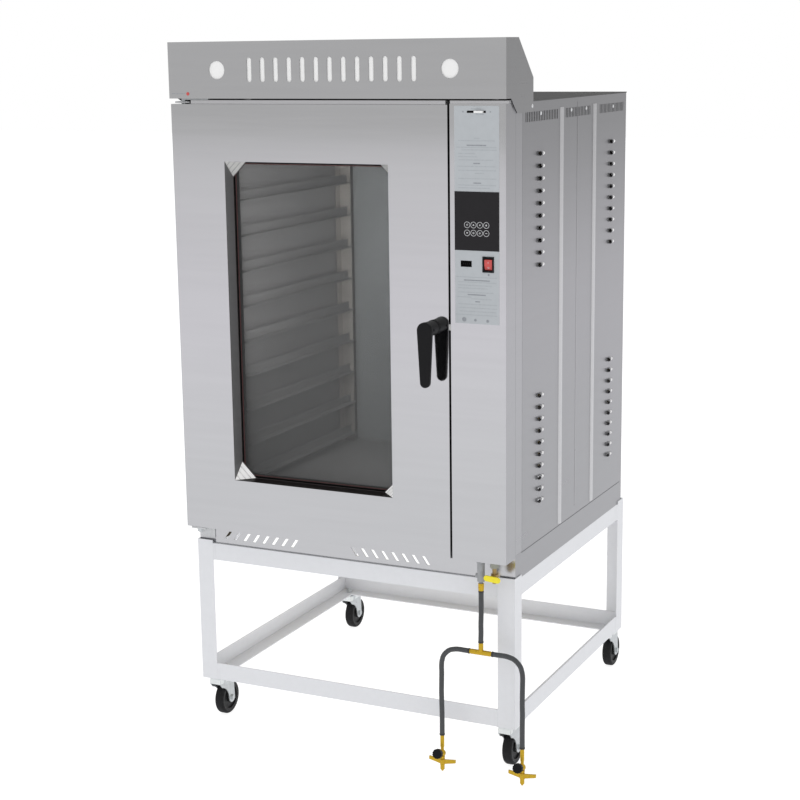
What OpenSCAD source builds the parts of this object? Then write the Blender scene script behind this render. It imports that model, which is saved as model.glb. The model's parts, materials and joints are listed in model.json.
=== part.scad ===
// Ten-tray gas convection oven on a wheeled stand. Sizes in millimetres, +Z up.
// The origin is on the floor, under the middle of the oven. Each piece is drawn from the left side
// of the body, the front plane of the door and the floor, and seat() carries it to the origin.

/* [Body] */
// Width of the body
body_w = 980; // [960:1:1040]
// Depth from the front frame to the back panel
body_d = 880; // [870:1:960]
// Height of the casing above the skirt
body_h = 1185; // [1175:1:1240]
// Height of the base skirt
skirt_h = 70; // [66:1:90]
// Thickness of the casing sheets
sheet = 1.5; // [1:0.1:1.8]
// Height of the top cover above the panels
cover_h = 3; // [2:0.5:5]
// Depth of the side strips of the front frame
strip_d = 47; // [40:1:55]
// Depth of the side strips of the back panel
rear_strip_d = 9; // [6:1:14]
// Overhang of the top cover behind the back panel
cover_over = 5; // [2:1:10]

/* [Side panels] */
// Distance of the front rib from the front frame
rib_front = 332; // [320:1:345]
// Distance of the rear rib from the back panel
rib_rear = 282; // [270:1:295]
// Width of a pressed rib
rib_w = 24; // [18:1:28]
// Height of a pressed rib
rib_h = 5; // [3:0.5:7]
// Distance of the front louvres from the front frame
louvre_front = 163; // [150:1:175]
// Distance of the rear louvres from the back panel
louvre_rear = 143; // [130:1:155]
// Height of the lowest louvre above the skirt
louvre_foot = 112; // [100:1:125]
// Distance of the highest louvre below the casing's top
louvre_head = 138; // [125:1:150]
// Louvres in each group
louvre_count = 10; // [6:1:10]
// Vertical pitch of the louvres
louvre_pitch = 32.4; // [30:0.1:34]
// Length of a louvre
louvre_l = 44; // [36:1:48]
// Radius of a louvre's mouth
louvre_r = 6.5; // [5:0.5:7.5]
// Reach of a louvre's mouth beyond its own radius
louvre_out = 3.5; // [2:0.5:4]
// Pitch of the comb slots
comb_pitch = 12; // [11:0.5:14]
// Width of a comb slot
comb_w = 5; // [4:0.5:6]
// Height of a comb slot
comb_h = 25; // [18:1:28]
// Distance of the comb slots below the panels' top
comb_drop = 26; // [20:1:32]

/* [Skirt slots] */
// Slots in each group
slot_count = 8; // [4:1:8]
// Pitch of the slots
slot_pitch = 31; // [29:0.5:33]
// Width of a slot
slot_w = 9; // [6:0.5:11]
// Sideways lean of a slot
slot_lean = 16; // [10:1:18]
// Height of a slot
slot_h = 23; // [16:1:26]

/* [Stand] */
// Height of the stand between casters and oven
stand_h = 415; // [360:1:460]
// Leg width of the angle bar
angle_w = 50; // [45:1:54]
// Thickness of the angle bar
angle_t = 3; // [2.5:0.1:4]
// Reach of the stand in front of the front frame
stand_front = 10; // [8:0.5:12]
// Reach of the stand behind the back panel
stand_rear = 17; // [14:0.5:22]
// Reach of the leg tabs above the top rails
leg_tab = 9; // [4:1:12]

/* [Casters] */
// Height from the floor to the stand
caster_h = 130; // [126:1:140]
// Diameter of a wheel
wheel_d = 100; // [90:1:102]
// Width of a wheel
wheel_w = 28; // [22:1:30]
// Trail of the wheel behind its swivel
caster_trail = 38; // [34:1:42]
// Radius of the swivel stem
stem_r = 6; // [5:0.5:7]
// Radius of the axle bolt
axle_r = 5; // [4:0.5:6]
// Thickness of the fork plate
fork_t = 3; // [2.5:0.1:4]
// Radius of a caster's crown
crown_r = 24; // [20:1:26]
// Height of a caster's crown
crown_t = 18; // [14:1:20]
// Clearance between a wheel and its fork
fork_gap = 1.2; // [0.8:0.1:2]
// Distance of a stem from the outer faces of its leg
stem_inset = 35; // [32:1:35]

/* [Door] */
// Distance of the door's upper edge below the casing's top
door_head = 5.5; // [5:0.5:8]
// Depth of the door shell
door_d = 45; // [42:1:46]
// Distance from the door's front plane to the front frame
door_plane = 65; // [64:1:70]
// Height of the door's lower edge below the casing
door_drop = 7.5; // [6:0.5:9]
// Distance of the hinge axis from the door's left edge
hinge_x = 26; // [24:1:30]
// Distance of the hinge axis from the door's front plane
hinge_y = 30; // [28:1:30]
// Radius of a hinge pin
pin_r = 6; // [5:0.5:6.5]
// Distance of the inner pan from the door's edges
pan_inset = 60; // [56:1:62]

/* [Window] */
// Distance of the window from the door's left edge
win_left = 163; // [150:1:180]
// Distance of the window from the door's right edge
win_right = 168; // [150:1:180]
// Distance of the window from the door's lower edge
win_foot = 149.5; // [140:0.5:165]
// Distance of the window from the door's upper edge
win_head = 152.5; // [140:0.5:165]
// Thickness of the glass
glass_t = 4; // [3:0.5:5]
// Glass held behind the window's edge
glass_edge = 10; // [8:1:12]
// Width of the visible gasket lip
gasket_lip = 6; // [4:0.5:8]
// Leg length of a corner clip
clip_leg = 44; // [36:1:50]

/* [Chamber] */
// Distance of a chamber wall from the door's edge
chamber_side = 90; // [86:1:100]
// Height of the chamber floor above the skirt
chamber_foot = 80; // [76:1:90]
// Distance of the chamber roof below the casing's top
chamber_head = 100; // [90:1:105]
// Thickness of the insulation
wool_t = 36; // [25:1:40]
// Vertical pitch of the tray runners
tray_pitch = 100; // [60:1:100]
// First tray runner above the chamber floor
tray_first = 29; // [20:1:40]
// Distance of a runner's leg from its chamber wall
rack_inset = 27.5; // [24:0.5:40]
// Width of a tray runner
runner_w = 25; // [20:1:30]
// Distance from the chamber's rear wall to the fan baffle
baffle_gap = 67; // [65:1:70]

/* [Burners] */
// Number of burner tubes
burner_count = 4; // [3:1:5]
// Radius of a burner tube
burner_r = 14; // [11:1:16]
// Distance of the outer tubes from the chamber walls
burner_side = 100; // [80:1:130]
// Distance of the tubes from the front frame
burner_front = 60; // [40:1:80]
// Distance of the tubes from the back panel
burner_rear = 100; // [80:1:140]

/* [Fan] */
// Radius of the fan wheel
fan_r = 160; // [140:1:175]
// Depth of the fan blades
fan_depth = 44; // [38:1:46]
// Number of fan blades
blade_count = 12; // [8:1:16]
// Radius of the motor shaft
shaft_r = 8; // [6:0.5:9]
// Radius of the motor housing
motor_r = 78; // [60:1:84]
// Length of the motor behind the back panel
motor_l = 170; // [140:1:190]
// Number of cooling ribs on the motor
motor_ribs = 20; // [12:1:24]

/* [Canopy] */
// Height of the canopy's lower front edge above the casing
canopy_lift = 9; // [8:1:14]
// Height of the canopy's front face
canopy_face = 149.5; // [120:0.5:170]
// Reach of the canopy in front of the door's plane
canopy_front = 3; // [2:0.5:5]
// Depth of the flat top
canopy_flat = 84; // [70:1:95]
// Depth of the rear slope
canopy_slope_d = 101; // [90:1:110]
// Drop of the rear slope
canopy_slope_h = 100.5; // [60:0.5:102]
// Thickness of the canopy sheet
canopy_t = 2; // [1.5:0.1:2.5]
// Number of upright openings in the canopy's face
canopy_slots = 13; // [7:2:15]
// Pitch of those openings
canopy_pitch = 40; // [34:1:42]
// Width of such an opening
canopy_slot_w = 14; // [10:1:18]
// Height of its straight part
canopy_slot_h = 50; // [40:1:70]
// Radius of the two round openings
canopy_hole_r = 24; // [18:1:30]
// Distance of a round opening from the canopy's end
canopy_hole_in = 150; // [120:1:160]

/* [Control column] */
// Width of the column
column_w = 153; // [148:1:160]
// Gap between the door and the column
door_gap = 6; // [5:0.5:8]
// Distance of the column's upper edge below the casing's top
column_head = 3; // [2:0.5:6]
// Distance of the overlay from the column's left edge
overlay_side = 13; // [8:1:20]
// Distance of the overlay from the column's upper edge
overlay_head = 5; // [3:1:10]
// Width of the printed overlay
overlay_w = 122; // [110:1:126]
// Height of the printed overlay
overlay_h = 550; // [540:1:555]
// Thickness of the printed overlay
overlay_t = 0.5; // [0.3:0.1:0.8]
// Height of the key panel
keys_h = 149; // [140:1:155]
// Thickness of the key panel
keys_t = 0.7; // [0.5:0.1:1]
// Radius of a flat key
key_r = 7.6; // [6:0.1:8]
// Width of the switch bezel
bezel_w = 31; // [28:0.5:34]
// Height of the switch bezel
bezel_h = 40; // [36:0.5:44]
// Width of the rocker
rocker_w = 21.5; // [18:0.5:22]
// Height of the rocker
rocker_h = 27; // [24:0.5:29]
// Tilt of the rocker from its middle
rocker_tilt = 8; // [5:1:9]
// Length of the damper slot
damper_slot = 51; // [46:1:56]
// Width of the damper tab
damper_tab = 23; // [18:1:24]

/* [Handle] */
// Reach of the grip in front of the door
grip_reach = 60; // [52:1:70]
// Thickness of the grip
grip_t = 15; // [10:1:18]
// Radius of the grip's upper end
grip_top_r = 21; // [18:0.5:24]
// Radius of the grip's lower end
grip_low_r = 13.5; // [12:0.5:17]
// Length between the centres of the grip's ends
grip_l = 136.5; // [110:0.5:150]
// Height of the handle's axis above the door's lower edge
handle_up = 618.5; // [580:0.5:650]
// Distance of the handle's axis from the door's right edge
handle_inset = 43.5; // [40:0.5:46]
// Radius of the handle's arm at the door
arm_r = 18.5; // [14:0.5:20]
// Radius of the handle's spindle
spindle_r = 7; // [5:0.5:8]
// Thickness of the latch tongue
tongue_t = 4; // [3:0.5:5]

/* [Gas side] */
// Radius of the gas hoses
hose_r = 6; // [5:0.5:7]
// Radius of a valve knob
knob_r = 13.5; // [11:0.5:15]
// Reach of a wing from the valve's axis
wing_l = 39; // [30:1:42]
// Length of the tap lever
lever_l = 47; // [40:1:52]
// Width of the tap lever
lever_w = 16; // [12:1:18]
// Upward tilt of the valve knobs
knob_tilt = 17; // [0:1:20]

/* [Clearances] */
// Radial clearance of a running fit
run_fit = 0.05; // [0.02:0.01:0.1]
// Clearance between pieces that pass or rest near each other
near_gap = 0.3; // [0.2:0.05:0.5]

/* [Hidden] */
$fn = 48;

// Amount by which a cut runs past a face
past = 1;
// The whole depth runs from the grip to the end of the motor, and the origin is under its middle
rear_reach = door_plane + body_d + motor_l;
front_y = (grip_reach - rear_reach) / 2;

// Levels of the casing
stand_top = caster_h + stand_h;
case_z = stand_top + skirt_h;
case_top = case_z + body_h;
panel_top = case_top - cover_h;
back_y = door_plane + body_d;
panel_y0 = door_plane + strip_d;
panel_y1 = back_y - rear_strip_d;
// Top of the two bars that carry the burner tubes
burner_rest = case_z - 25;
// The canopy's planes: front, top edge, foot of the slope; and its levels
canopy_y0 = -canopy_front;
canopy_y1 = canopy_y0 + canopy_flat;
canopy_y2 = canopy_y1 + canopy_slope_d;
canopy_z0 = case_top + canopy_lift;
canopy_z1 = canopy_z0 + canopy_face;
// The comb vents of a side panel: the start and the number of slots of each group
comb_groups = [[panel_y0 + 21, 20], [panel_y0 + 317, 17], [panel_y0 + 596, 18]];
seam = 0.4;
fold_w = 20;

// Stand
stand_x0 = -angle_t;
stand_x1 = body_w + angle_t;
stand_y0 = door_plane - stand_front;
stand_y1 = back_y + stand_rear;
stem_places = [
  [stand_x0 + stem_inset, stand_y0 + stem_inset],
  [stand_x1 - stem_inset, stand_y0 + stem_inset],
  [stand_x0 + stem_inset, stand_y1 - stem_inset],
  [stand_x1 - stem_inset, stand_y1 - stem_inset]
];
wheel_r = wheel_d / 2;
collar_t = 3.5;
crown_top = caster_h - collar_t - near_gap;
crown_low = crown_top - crown_t;
plate_top = crown_top - 5;
stem_head_t = 4;
stem_z0 = crown_low - near_gap - stem_head_t;
stem_z1 = caster_h + angle_t + 14;
nut_t = 10;
nut_r = 11;
fork_in = wheel_w / 2 + fork_gap;
fork_out = fork_in + fork_t;

// Door
door_w = body_w - column_w - door_gap;
door_z0 = case_z - door_drop;
door_z1 = case_top - door_head;
door_h = door_z1 - door_z0;
win_x = win_left;
win_w = door_w - win_left - win_right;
win_z = door_z0 + win_foot;
win_h = door_h - win_foot - win_head;
pan_d = 15;
pan_y = door_d + pan_d;
pan_x1 = door_w - pan_inset;
pan_z0 = door_z0 + pan_inset - 8;
pan_z1 = door_z1 - pan_inset;
lip_y = door_d - sheet;
inner_lap = 20;
seal_w = 10;
bracket_x0 = 6;
bracket_w = 46;
bracket_y0 = 12;
plate_t = 5;
boss_r = 12;
boss_h = 31;
pin_collar_r = 10;
collar_h = 4.5;
top_plate_t = 4;

// Chamber
chamber_x = chamber_side;
chamber_w = door_w - 2 * chamber_side;
chamber_z = case_z + chamber_foot;
chamber_h = body_h - chamber_foot - chamber_head;
chamber_x1 = chamber_x + chamber_w;
chamber_z1 = chamber_z + chamber_h;
chamber_y0 = door_plane + sheet;
wool_gap = 1;
chamber_y1 = back_y - 2 * sheet - wool_t - wool_gap;
chamber_mid_x = chamber_x + chamber_w / 2;
chamber_mid_z = chamber_z + chamber_h / 2;
baffle_y = chamber_y1 - baffle_gap;
post_y0 = door_plane + 35;
post_y1 = baffle_y - 38;
runner_x = chamber_x + rack_inset - sheet;
runner_leg = 25;
tray_count = floor((chamber_h - tray_first - 2 * runner_leg) / tray_pitch) + 1;

// Control column
column_x0 = door_w + door_gap;
column_z0 = case_z - door_drop;
column_z1 = case_top - column_head;
overlay_x0 = column_x0 + overlay_side;
overlay_z1 = column_z1 - overlay_head;
overlay_z0 = overlay_z1 - overlay_h;
keys_z0 = overlay_z0 + 188;
bezel_x = overlay_x0 + 92;
bezel_z = overlay_z0 + 153.7;
sleeve_wall = 2.2;
sleeve_d = 20;
rocker_y = 6;
damper_x = overlay_x0 + 35;
damper_z = overlay_z1 - 14.5;
damper_h = 5.4;
tab_x = damper_x + 22;

// Handle
handle_x = door_w - handle_inset;
handle_z = door_z0 + handle_up;
tongue_y = 20;
tongue_low = 4.5;
tongue_high = 9.5;
tongue_reach = sqrt(pow(handle_inset + door_gap - near_gap, 2) - pow(tongue_high, 2));
// The height of the slot in the door's edge through which the tongue swings
tongue_slot = [-33, 21];

// Gas side
inlet_x = column_x0 + 77.5;
inlet_y = 11;
inlet_low = 526;
tap_x = column_x0 + 116;
tap_z = column_z0 - 40;
tee_x = inlet_x + 3.5;
tee_z = 358;
tee_top = 386;
tee_half = 32;
valve_y = -4;
hose_end = 108;
valve_z = 55;
knob_out = 34.5;

// The routes of the three hoses, from end to end; x is measured from the tee
inlet_route = [
  [-3.5, 11, 526], [-3.5, 11, 508], [-3, 10, 485], [-2, 7, 460],
  [-1, 3, 435], [0, 1, 410], [0, 0, 398], [0, 0, 386]
];
left_route = [
  [-32, 0, 358], [-48, 0, 358], [-67, 0, 358], [-79, 0, 356], [-91, 0, 352], [-101, 0, 344],
  [-109, 0, 334], [-113, 0, 322], [-115, 0, 310], [-115, 0, 285], [-115, -1, 260], [-115, -2, 230],
  [-114, -3, 200], [-113, -4, 170], [-113, -4, 140], [-113, -4, 122], [-113, -4, 108]
];
right_route = [
  [32, 0, 358], [52, 0, 358], [71, 0, 358], [83, 0, 356], [95, 0, 352], [105, 0, 344],
  [113, 0, 334], [117, 0, 322], [119, 0, 310], [119, 0, 285], [119, -1, 260], [119, -2, 230],
  [120, -3, 200], [120, -4, 170], [120, -4, 140], [120, -4, 122], [120, -4, 108]
];
valve_x_left = tee_x + left_route[len(left_route) - 1].x;
valve_x_right = tee_x + right_route[len(right_route) - 1].x;

// Carries a piece from the body's left side and the door's front plane to the origin
module seat() { translate([-body_w / 2, front_y, 0]) children(); }

// A block between two opposite corners
module block(a, b) { translate(a) cube(b - a); }

// A round bar along Y, X or Z from a point
module bar_y(p, r, l) { translate(p) rotate([-90, 0, 0]) cylinder(r = r, h = l); }
module bar_x(p, r, l) { translate(p) rotate([0, 90, 0]) cylinder(r = r, h = l); }
module bar_z(p, r, l) { translate(p) cylinder(r = r, h = l); }

// A frame in the XZ plane: an outer block less an inner one
module window_frame(a, b, c, d) {
  difference() {
    block(a, b);
    block([c.x, a.y - past, c.y], [d.x, b.y + past, d.y]);
  }
}

// An outline in the YZ plane, drawn as [y, z], run along X
module along_x(x0, l) {
  translate([x0, 0, 0]) rotate([90, 0, 90]) linear_extrude(height = l) children();
}

// An outline in the XZ plane, drawn as [x, z], run towards the front from y
module along_y(y, l) { translate([0, y, 0]) rotate([90, 0, 0]) linear_extrude(height = l) children(); }

module mirror_x(mid) { translate([mid, 0, 0]) mirror([1, 0, 0]) translate([-mid, 0, 0]) children(); }

// Stand

module leg_profile() {
  union() {
    square([angle_w, angle_t]);
    square([angle_t, angle_w]);
  }
}

module stand_legs() {
  color("white") seat() {
    for (sx = [0, 1], sy = [0, 1])
      translate([sx ? stand_x1 : stand_x0, sy ? stand_y1 : stand_y0, caster_h])
        mirror([sx, 0, 0]) mirror([0, sy, 0])
          linear_extrude(height = stand_h + leg_tab) leg_profile();
  }
}

// Four rails of one ring; the flange lies at z_flange and the web spans the height
module rail_ring(z0, z_flange) {
  x0 = stand_x0 + angle_t;
  x1 = stand_x1 - angle_t;
  y0 = stand_y0 + angle_t;
  y1 = stand_y1 - angle_t;
  in = angle_w;
  for (side = [0, 1])
    translate([0, side ? y0 + y1 : 0, 0]) mirror([0, side, 0])
      difference() {
        union() {
          block([x0 + near_gap, y0, z0], [x1 - near_gap, y0 + angle_t, z0 + angle_w]);
          block([x0 + angle_t + near_gap, y0, z_flange],
            [x1 - angle_t - near_gap, y0 + in, z_flange + angle_t]);
        }
        for (p = stem_places) bar_z([p.x, p.y, z0 - past], stem_r + near_gap, angle_t + 2 * past);
      }
  for (side = [0, 1])
    translate([side ? x0 + x1 : 0, 0, 0]) mirror([side, 0, 0]) {
      block([x0, y0 + angle_t + near_gap, z0], [x0 + angle_t, y1 - angle_t - near_gap, z0 + angle_w]);
      block([x0, y0 + in + near_gap, z_flange], [x0 + in, y1 - in - near_gap, z_flange + angle_t]);
    }
}

module stand_top_rails() {
  color("white") seat() rail_ring(stand_top - angle_w, stand_top - angle_t);
}

module stand_low_rails() {
  color("whitesmoke") seat() rail_ring(caster_h, caster_h);
}

module caster_stems() {
  color("silver") seat() for (p = stem_places) {
    bar_z([p.x, p.y, stem_z0], stem_r, stem_z1 - stem_z0);
    bar_z([p.x, p.y, stem_z0], stem_r + 4, stem_head_t);
    bar_z([p.x, p.y, caster_h - collar_t], 15, collar_t);
    translate([p.x, p.y, caster_h + angle_t]) cylinder(r = nut_r, h = nut_t, $fn = 6);
  }
}

// Side view of one fork plate, drawn as [y, z] from the stem and the floor: a swept arm that ends
// round the axle
module fork_side() {
  arm_r = 15;
  arm_back = caster_trail + 10;
  sweep_r = 47;
  difference() {
    union() {
      polygon([[-crown_r, crown_low], [-crown_r, plate_top], [arm_back, plate_top],
        [caster_trail + arm_r, wheel_r], [caster_trail - arm_r, wheel_r]]);
      translate([caster_trail, wheel_r]) circle(r = arm_r);
    }
    translate([caster_trail - arm_r - sweep_r - 1, wheel_r]) circle(r = sweep_r);
    translate([caster_trail, wheel_r]) circle(r = axle_r + 2 * run_fit);
  }
}

module caster_fork(i) {
  p = stem_places[i];
  bolt_over = 5;
  color("lightgray") seat() translate([p.x, p.y, 0]) {
    difference() {
      union() {
        along_x(fork_in, fork_t) fork_side();
        along_x(-fork_out, fork_t) fork_side();
        block([-fork_out, -crown_r, crown_low], [fork_out, caster_trail + 10, crown_low + fork_t]);
        bar_z([0, 0, crown_low], crown_r - 4, crown_t);
        bar_z([0, 0, plate_top], crown_r, crown_top - plate_top);
      }
      bar_z([0, 0, crown_low - past], stem_r + run_fit, crown_t + 2 * past);
    }
    bar_x([-fork_out - bolt_over, caster_trail, wheel_r], axle_r, 2 * (fork_out + bolt_over));
    for (side = [0, 1]) mirror([side, 0, 0])
      translate([fork_out, caster_trail, wheel_r]) rotate([0, 90, 0]) cylinder(r = 8.5, h = 4.9, $fn = 6);
  }
}

// Half section of a wheel: tyre, web and hub
module wheel_section() {
  w = wheel_w / 2;
  tyre_r = 8;
  translate([axle_r + run_fit, -w]) square([10, wheel_w]);
  translate([axle_r + 5, -w + 6]) square([wheel_r - 18, wheel_w - 12]);
  translate([wheel_r - 2 * tyre_r, -w + 1]) square([10, wheel_w - 2]);
  translate([wheel_r - tyre_r, tyre_r - w]) square([tyre_r, wheel_w - 2 * tyre_r]);
  for (s = [-1, 1]) translate([wheel_r - tyre_r, s * (w - tyre_r)]) circle(r = tyre_r);
}

module caster_wheel(i) {
  p = stem_places[i];
  color("dimgray") seat() translate([p.x, p.y + caster_trail, wheel_r])
    rotate([0, 90, 0]) rotate_extrude($fn = 64) wheel_section();
}

// Casing

// One leaning slot of the skirt, its lower left corner at the origin of [x, z]
module lean_slot() {
  polygon([[0, 0], [slot_w, 0], [slot_w + slot_lean, slot_h], [slot_lean, slot_h]]);
}

module base_skirt() {
  slot_z = stand_top + 15;
  left_x = 82;
  right_x = door_w - 89;
  color("lightsteelblue") seat() {
    difference() {
      block([0, door_plane, stand_top], [body_w, back_y, case_z]);
      block([sheet, door_plane + sheet, stand_top + sheet], [body_w - sheet, back_y - sheet, case_z + past]);
      block([fold_w, door_plane + fold_w, stand_top - past], [body_w - fold_w, back_y - fold_w, case_z]);
      for (k = [0:slot_count - 1]) {
        translate([left_x + k * slot_pitch, 0, slot_z]) along_y(door_plane + sheet + past, sheet + 2 * past)
          lean_slot();
        translate([right_x - k * slot_pitch, 0, slot_z]) mirror([1, 0, 0])
          along_y(door_plane + sheet + past, sheet + 2 * past) lean_slot();
      }
    }
    for (y = [door_plane + 145, back_y - 175])
      difference() {
        block([sheet, y, burner_rest - 15], [body_w - sheet, y + 30, burner_rest]);
        block([0, y + sheet, burner_rest - 15 - past], [body_w, y + 30 - sheet, burner_rest - sheet]);
      }
  }
}

// A pressed rib: the outer part of a round bar
module rib(y) {
  rib_foot = 5;
  rib_head = 25;
  r = (rib_w * rib_w / 4 + rib_h * rib_h) / (2 * rib_h);
  intersection() {
    bar_z([r - rib_h, y, case_z + rib_foot], r, body_h - rib_foot - rib_head);
    block([-rib_h - past, y - rib_w, case_z], [0, y + rib_w, case_top]);
  }
}

// A scoop louvre: a tilted cone, open at its mouth towards the front
module louvre_cone(r_mouth, r_tail, grow) {
  tilt = atan((louvre_out + 0.5) / louvre_l);
  translate([-louvre_out, 0, 0]) rotate([0, 0, -tilt]) rotate([-90, 0, 0])
    translate([0, 0, -grow]) cylinder(r1 = r_mouth, r2 = r_tail, h = louvre_l + grow, $fn = 24);
}

module louvre_places() {
  group_h = (louvre_count - 1) * louvre_pitch;
  for (y = [door_plane + louvre_front, back_y - louvre_rear])
    for (z = [case_z + louvre_foot, case_top - louvre_head - group_h])
      for (k = [0:louvre_count - 1])
        translate([0, y, z + k * louvre_pitch]) children();
}

// The left panel, its outer face at x = 0
module side_panel() {
  difference() {
    union() {
      difference() {
        block([0, panel_y0 + seam, case_z], [fold_w, panel_y1 - seam, panel_top]);
        block([sheet, panel_y0, case_z + sheet], [fold_w + past, panel_y1, panel_top - sheet]);
      }
      rib(door_plane + rib_front);
      rib(back_y - rib_rear);
      intersection() {
        louvre_places() louvre_cone(louvre_r, 1.5, 0);
        block([-20, panel_y0, case_z], [sheet / 2, panel_y1, panel_top]);
      }
    }
    intersection() {
      louvre_places() louvre_cone(louvre_r - 1, 0.6, 0.2);
      block([-20, panel_y0, case_z], [sheet + past, panel_y1, panel_top]);
    }
    for (g = comb_groups, k = [0:g[1] - 1])
      block([-past, g[0] + k * comb_pitch, panel_top - comb_drop - comb_h],
        [sheet + past, g[0] + k * comb_pitch + comb_w, panel_top - comb_drop]);
  }
}

module side_panel_left() { color("darkgray") seat() side_panel(); }

module side_panel_right() { color("darkgray") seat() mirror_x(body_w / 2) side_panel(); }

module back_panel() {
  color("gray") seat() difference() {
    block([0, panel_y1, case_z], [body_w, back_y, panel_top]);
    block([sheet, panel_y1 - past, case_z + sheet], [body_w - sheet, back_y - sheet, panel_top - sheet]);
    bar_y([chamber_mid_x, panel_y1, chamber_mid_z], 30, rear_strip_d + past);
  }
}

// The cover lies behind the canopy, on the edges of the side and back panels
module top_cover() {
  y0 = canopy_y2 + near_gap;
  y1 = back_y + cover_over;
  color("dimgray") seat() difference() {
    block([0, y0, panel_top], [body_w, y1, case_top]);
    block([sheet, y0 + sheet, panel_top - past], [body_w - sheet, y1 - sheet, case_top - sheet]);
  }
}

// The front frame, with a strip under the canopy that reaches back to the top cover
module front_frame() {
  strip_x = fold_w + seam;
  strip_y = canopy_y2 + near_gap + fold_w;
  color("darkslategray") seat() {
    difference() {
      block([0, door_plane, case_z], [body_w, panel_y0, panel_top]);
      block([sheet, door_plane + sheet, case_z + sheet],
        [body_w - sheet, panel_y0 + past, panel_top - sheet]);
      block([chamber_x, door_plane - past, chamber_z],
        [chamber_x1, door_plane + 2 * sheet, chamber_z1]);
      block([fold_w, door_plane + fold_w, case_z - past],
        [body_w - fold_w, panel_y0 + past, case_z + 2 * sheet]);
    }
    block([strip_x, panel_y0 - fold_w, panel_top - sheet], [body_w - strip_x, strip_y, panel_top]);
  }
}

module chamber_liner() {
  color("slategray") seat() difference() {
    block([chamber_x - sheet, chamber_y0, chamber_z - sheet],
      [chamber_x1 + sheet, chamber_y1 + sheet, chamber_z1 + sheet]);
    block([chamber_x, chamber_y0 - past, chamber_z], [chamber_x1, chamber_y1, chamber_z1]);
    bar_y([chamber_mid_x, chamber_y1 - past, chamber_mid_z], shaft_r + 6, sheet + 2 * past);
  }
}

module insulation() {
  t = sheet + wool_t;
  color("khaki") seat() difference() {
    block([chamber_x - t, chamber_y0, chamber_z - t], [chamber_x1 + t, chamber_y1 + t, chamber_z1 + t]);
    block([chamber_x - sheet, chamber_y0 - past, chamber_z - sheet],
      [chamber_x1 + sheet, chamber_y1 + sheet, chamber_z1 + sheet]);
    bar_y([chamber_mid_x, chamber_y1, chamber_mid_z], shaft_r + 8, t + past);
  }
}

module fan_baffle() {
  side_slot = 30;
  flange = 22;
  intake_r = 150;
  hole_pitch = 34;
  color("cadetblue") seat() {
    difference() {
      block([chamber_x + side_slot, baffle_y, chamber_z],
        [chamber_x1 - side_slot, baffle_y + flange, chamber_z1]);
      block([chamber_x, baffle_y + sheet, chamber_z + sheet],
        [chamber_x1, baffle_y + flange + past, chamber_z1 - sheet]);
      for (i = [-4:4], j = [-5:5]) {
        x = (i + (abs(j) % 2) / 2) * hole_pitch;
        z = j * hole_pitch * 0.866;
        if (norm([x, z]) < intake_r)
          bar_y([chamber_mid_x + x, baffle_y - past, chamber_mid_z + z], 12, sheet + 2 * past);
      }
    }
  }
}

// The left rack: two angle posts and its runners
module tray_rack() {
  post_h = chamber_h - 10;
  x0 = chamber_x + 2;
  translate([x0, post_y0, chamber_z]) {
    cube([runner_x - near_gap - x0, sheet, post_h]);
    cube([sheet, 30, post_h]);
  }
  translate([x0, post_y1 - 30, chamber_z]) {
    translate([0, 30, 0]) cube([38, sheet, post_h]);
    cube([sheet, 30 + sheet, post_h]);
  }
  for (k = [0:tray_count - 1])
    translate([runner_x, post_y0 - 5, chamber_z + tray_first + k * tray_pitch]) {
      cube([runner_w, post_y1 - near_gap - post_y0 + 5, sheet]);
      cube([sheet, post_y1 - near_gap - post_y0 + 5, runner_leg]);
    }
}

module tray_rack_left() { color("lightslategray") seat() tray_rack(); }

module tray_rack_right() { color("lightslategray") seat() mirror_x(chamber_mid_x) tray_rack(); }

// Burner tubes side by side, joined at the front by their gas pipe
module gas_burners() {
  wall = 2;
  pipe_r = 9;
  pipe_over = 40;
  pitch = (chamber_w - 2 * burner_side) / (burner_count - 1);
  x0 = chamber_x + burner_side;
  y0 = door_plane + burner_front;
  z = burner_rest + burner_r;
  l = body_d - burner_front - burner_rear;
  color("darkgoldenrod") seat() difference() {
    union() {
      for (k = [0:burner_count - 1]) bar_y([x0 + k * pitch, y0, z], burner_r, l);
      bar_x([x0 - pipe_over, y0, z], pipe_r, (burner_count - 1) * pitch + 2 * pipe_over);
    }
    for (k = [0:burner_count - 1])
      bar_y([x0 + k * pitch, y0 + pipe_r + 2 * wall, z], burner_r - wall, l - pipe_r - 4 * wall);
  }
}

module fan_motor() {
  color("steelblue") seat() translate([chamber_mid_x, back_y, chamber_mid_z]) rotate([-90, 0, 0])
  difference() {
    union() {
      cylinder(r = motor_r + 14, h = 6);
      cylinder(r = motor_r, h = motor_l);
      for (k = [0:motor_ribs - 1]) rotate([0, 0, k * 360 / motor_ribs])
        translate([motor_r - 2, -1.5, 6]) cube([10, 3, motor_l - 46]);
      translate([0, 0, motor_l - 38]) cylinder(r = motor_r + 6, h = 34);
    }
    translate([0, 0, -past]) cylinder(r = shaft_r + run_fit, h = 56 + past);
  }
}

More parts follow.
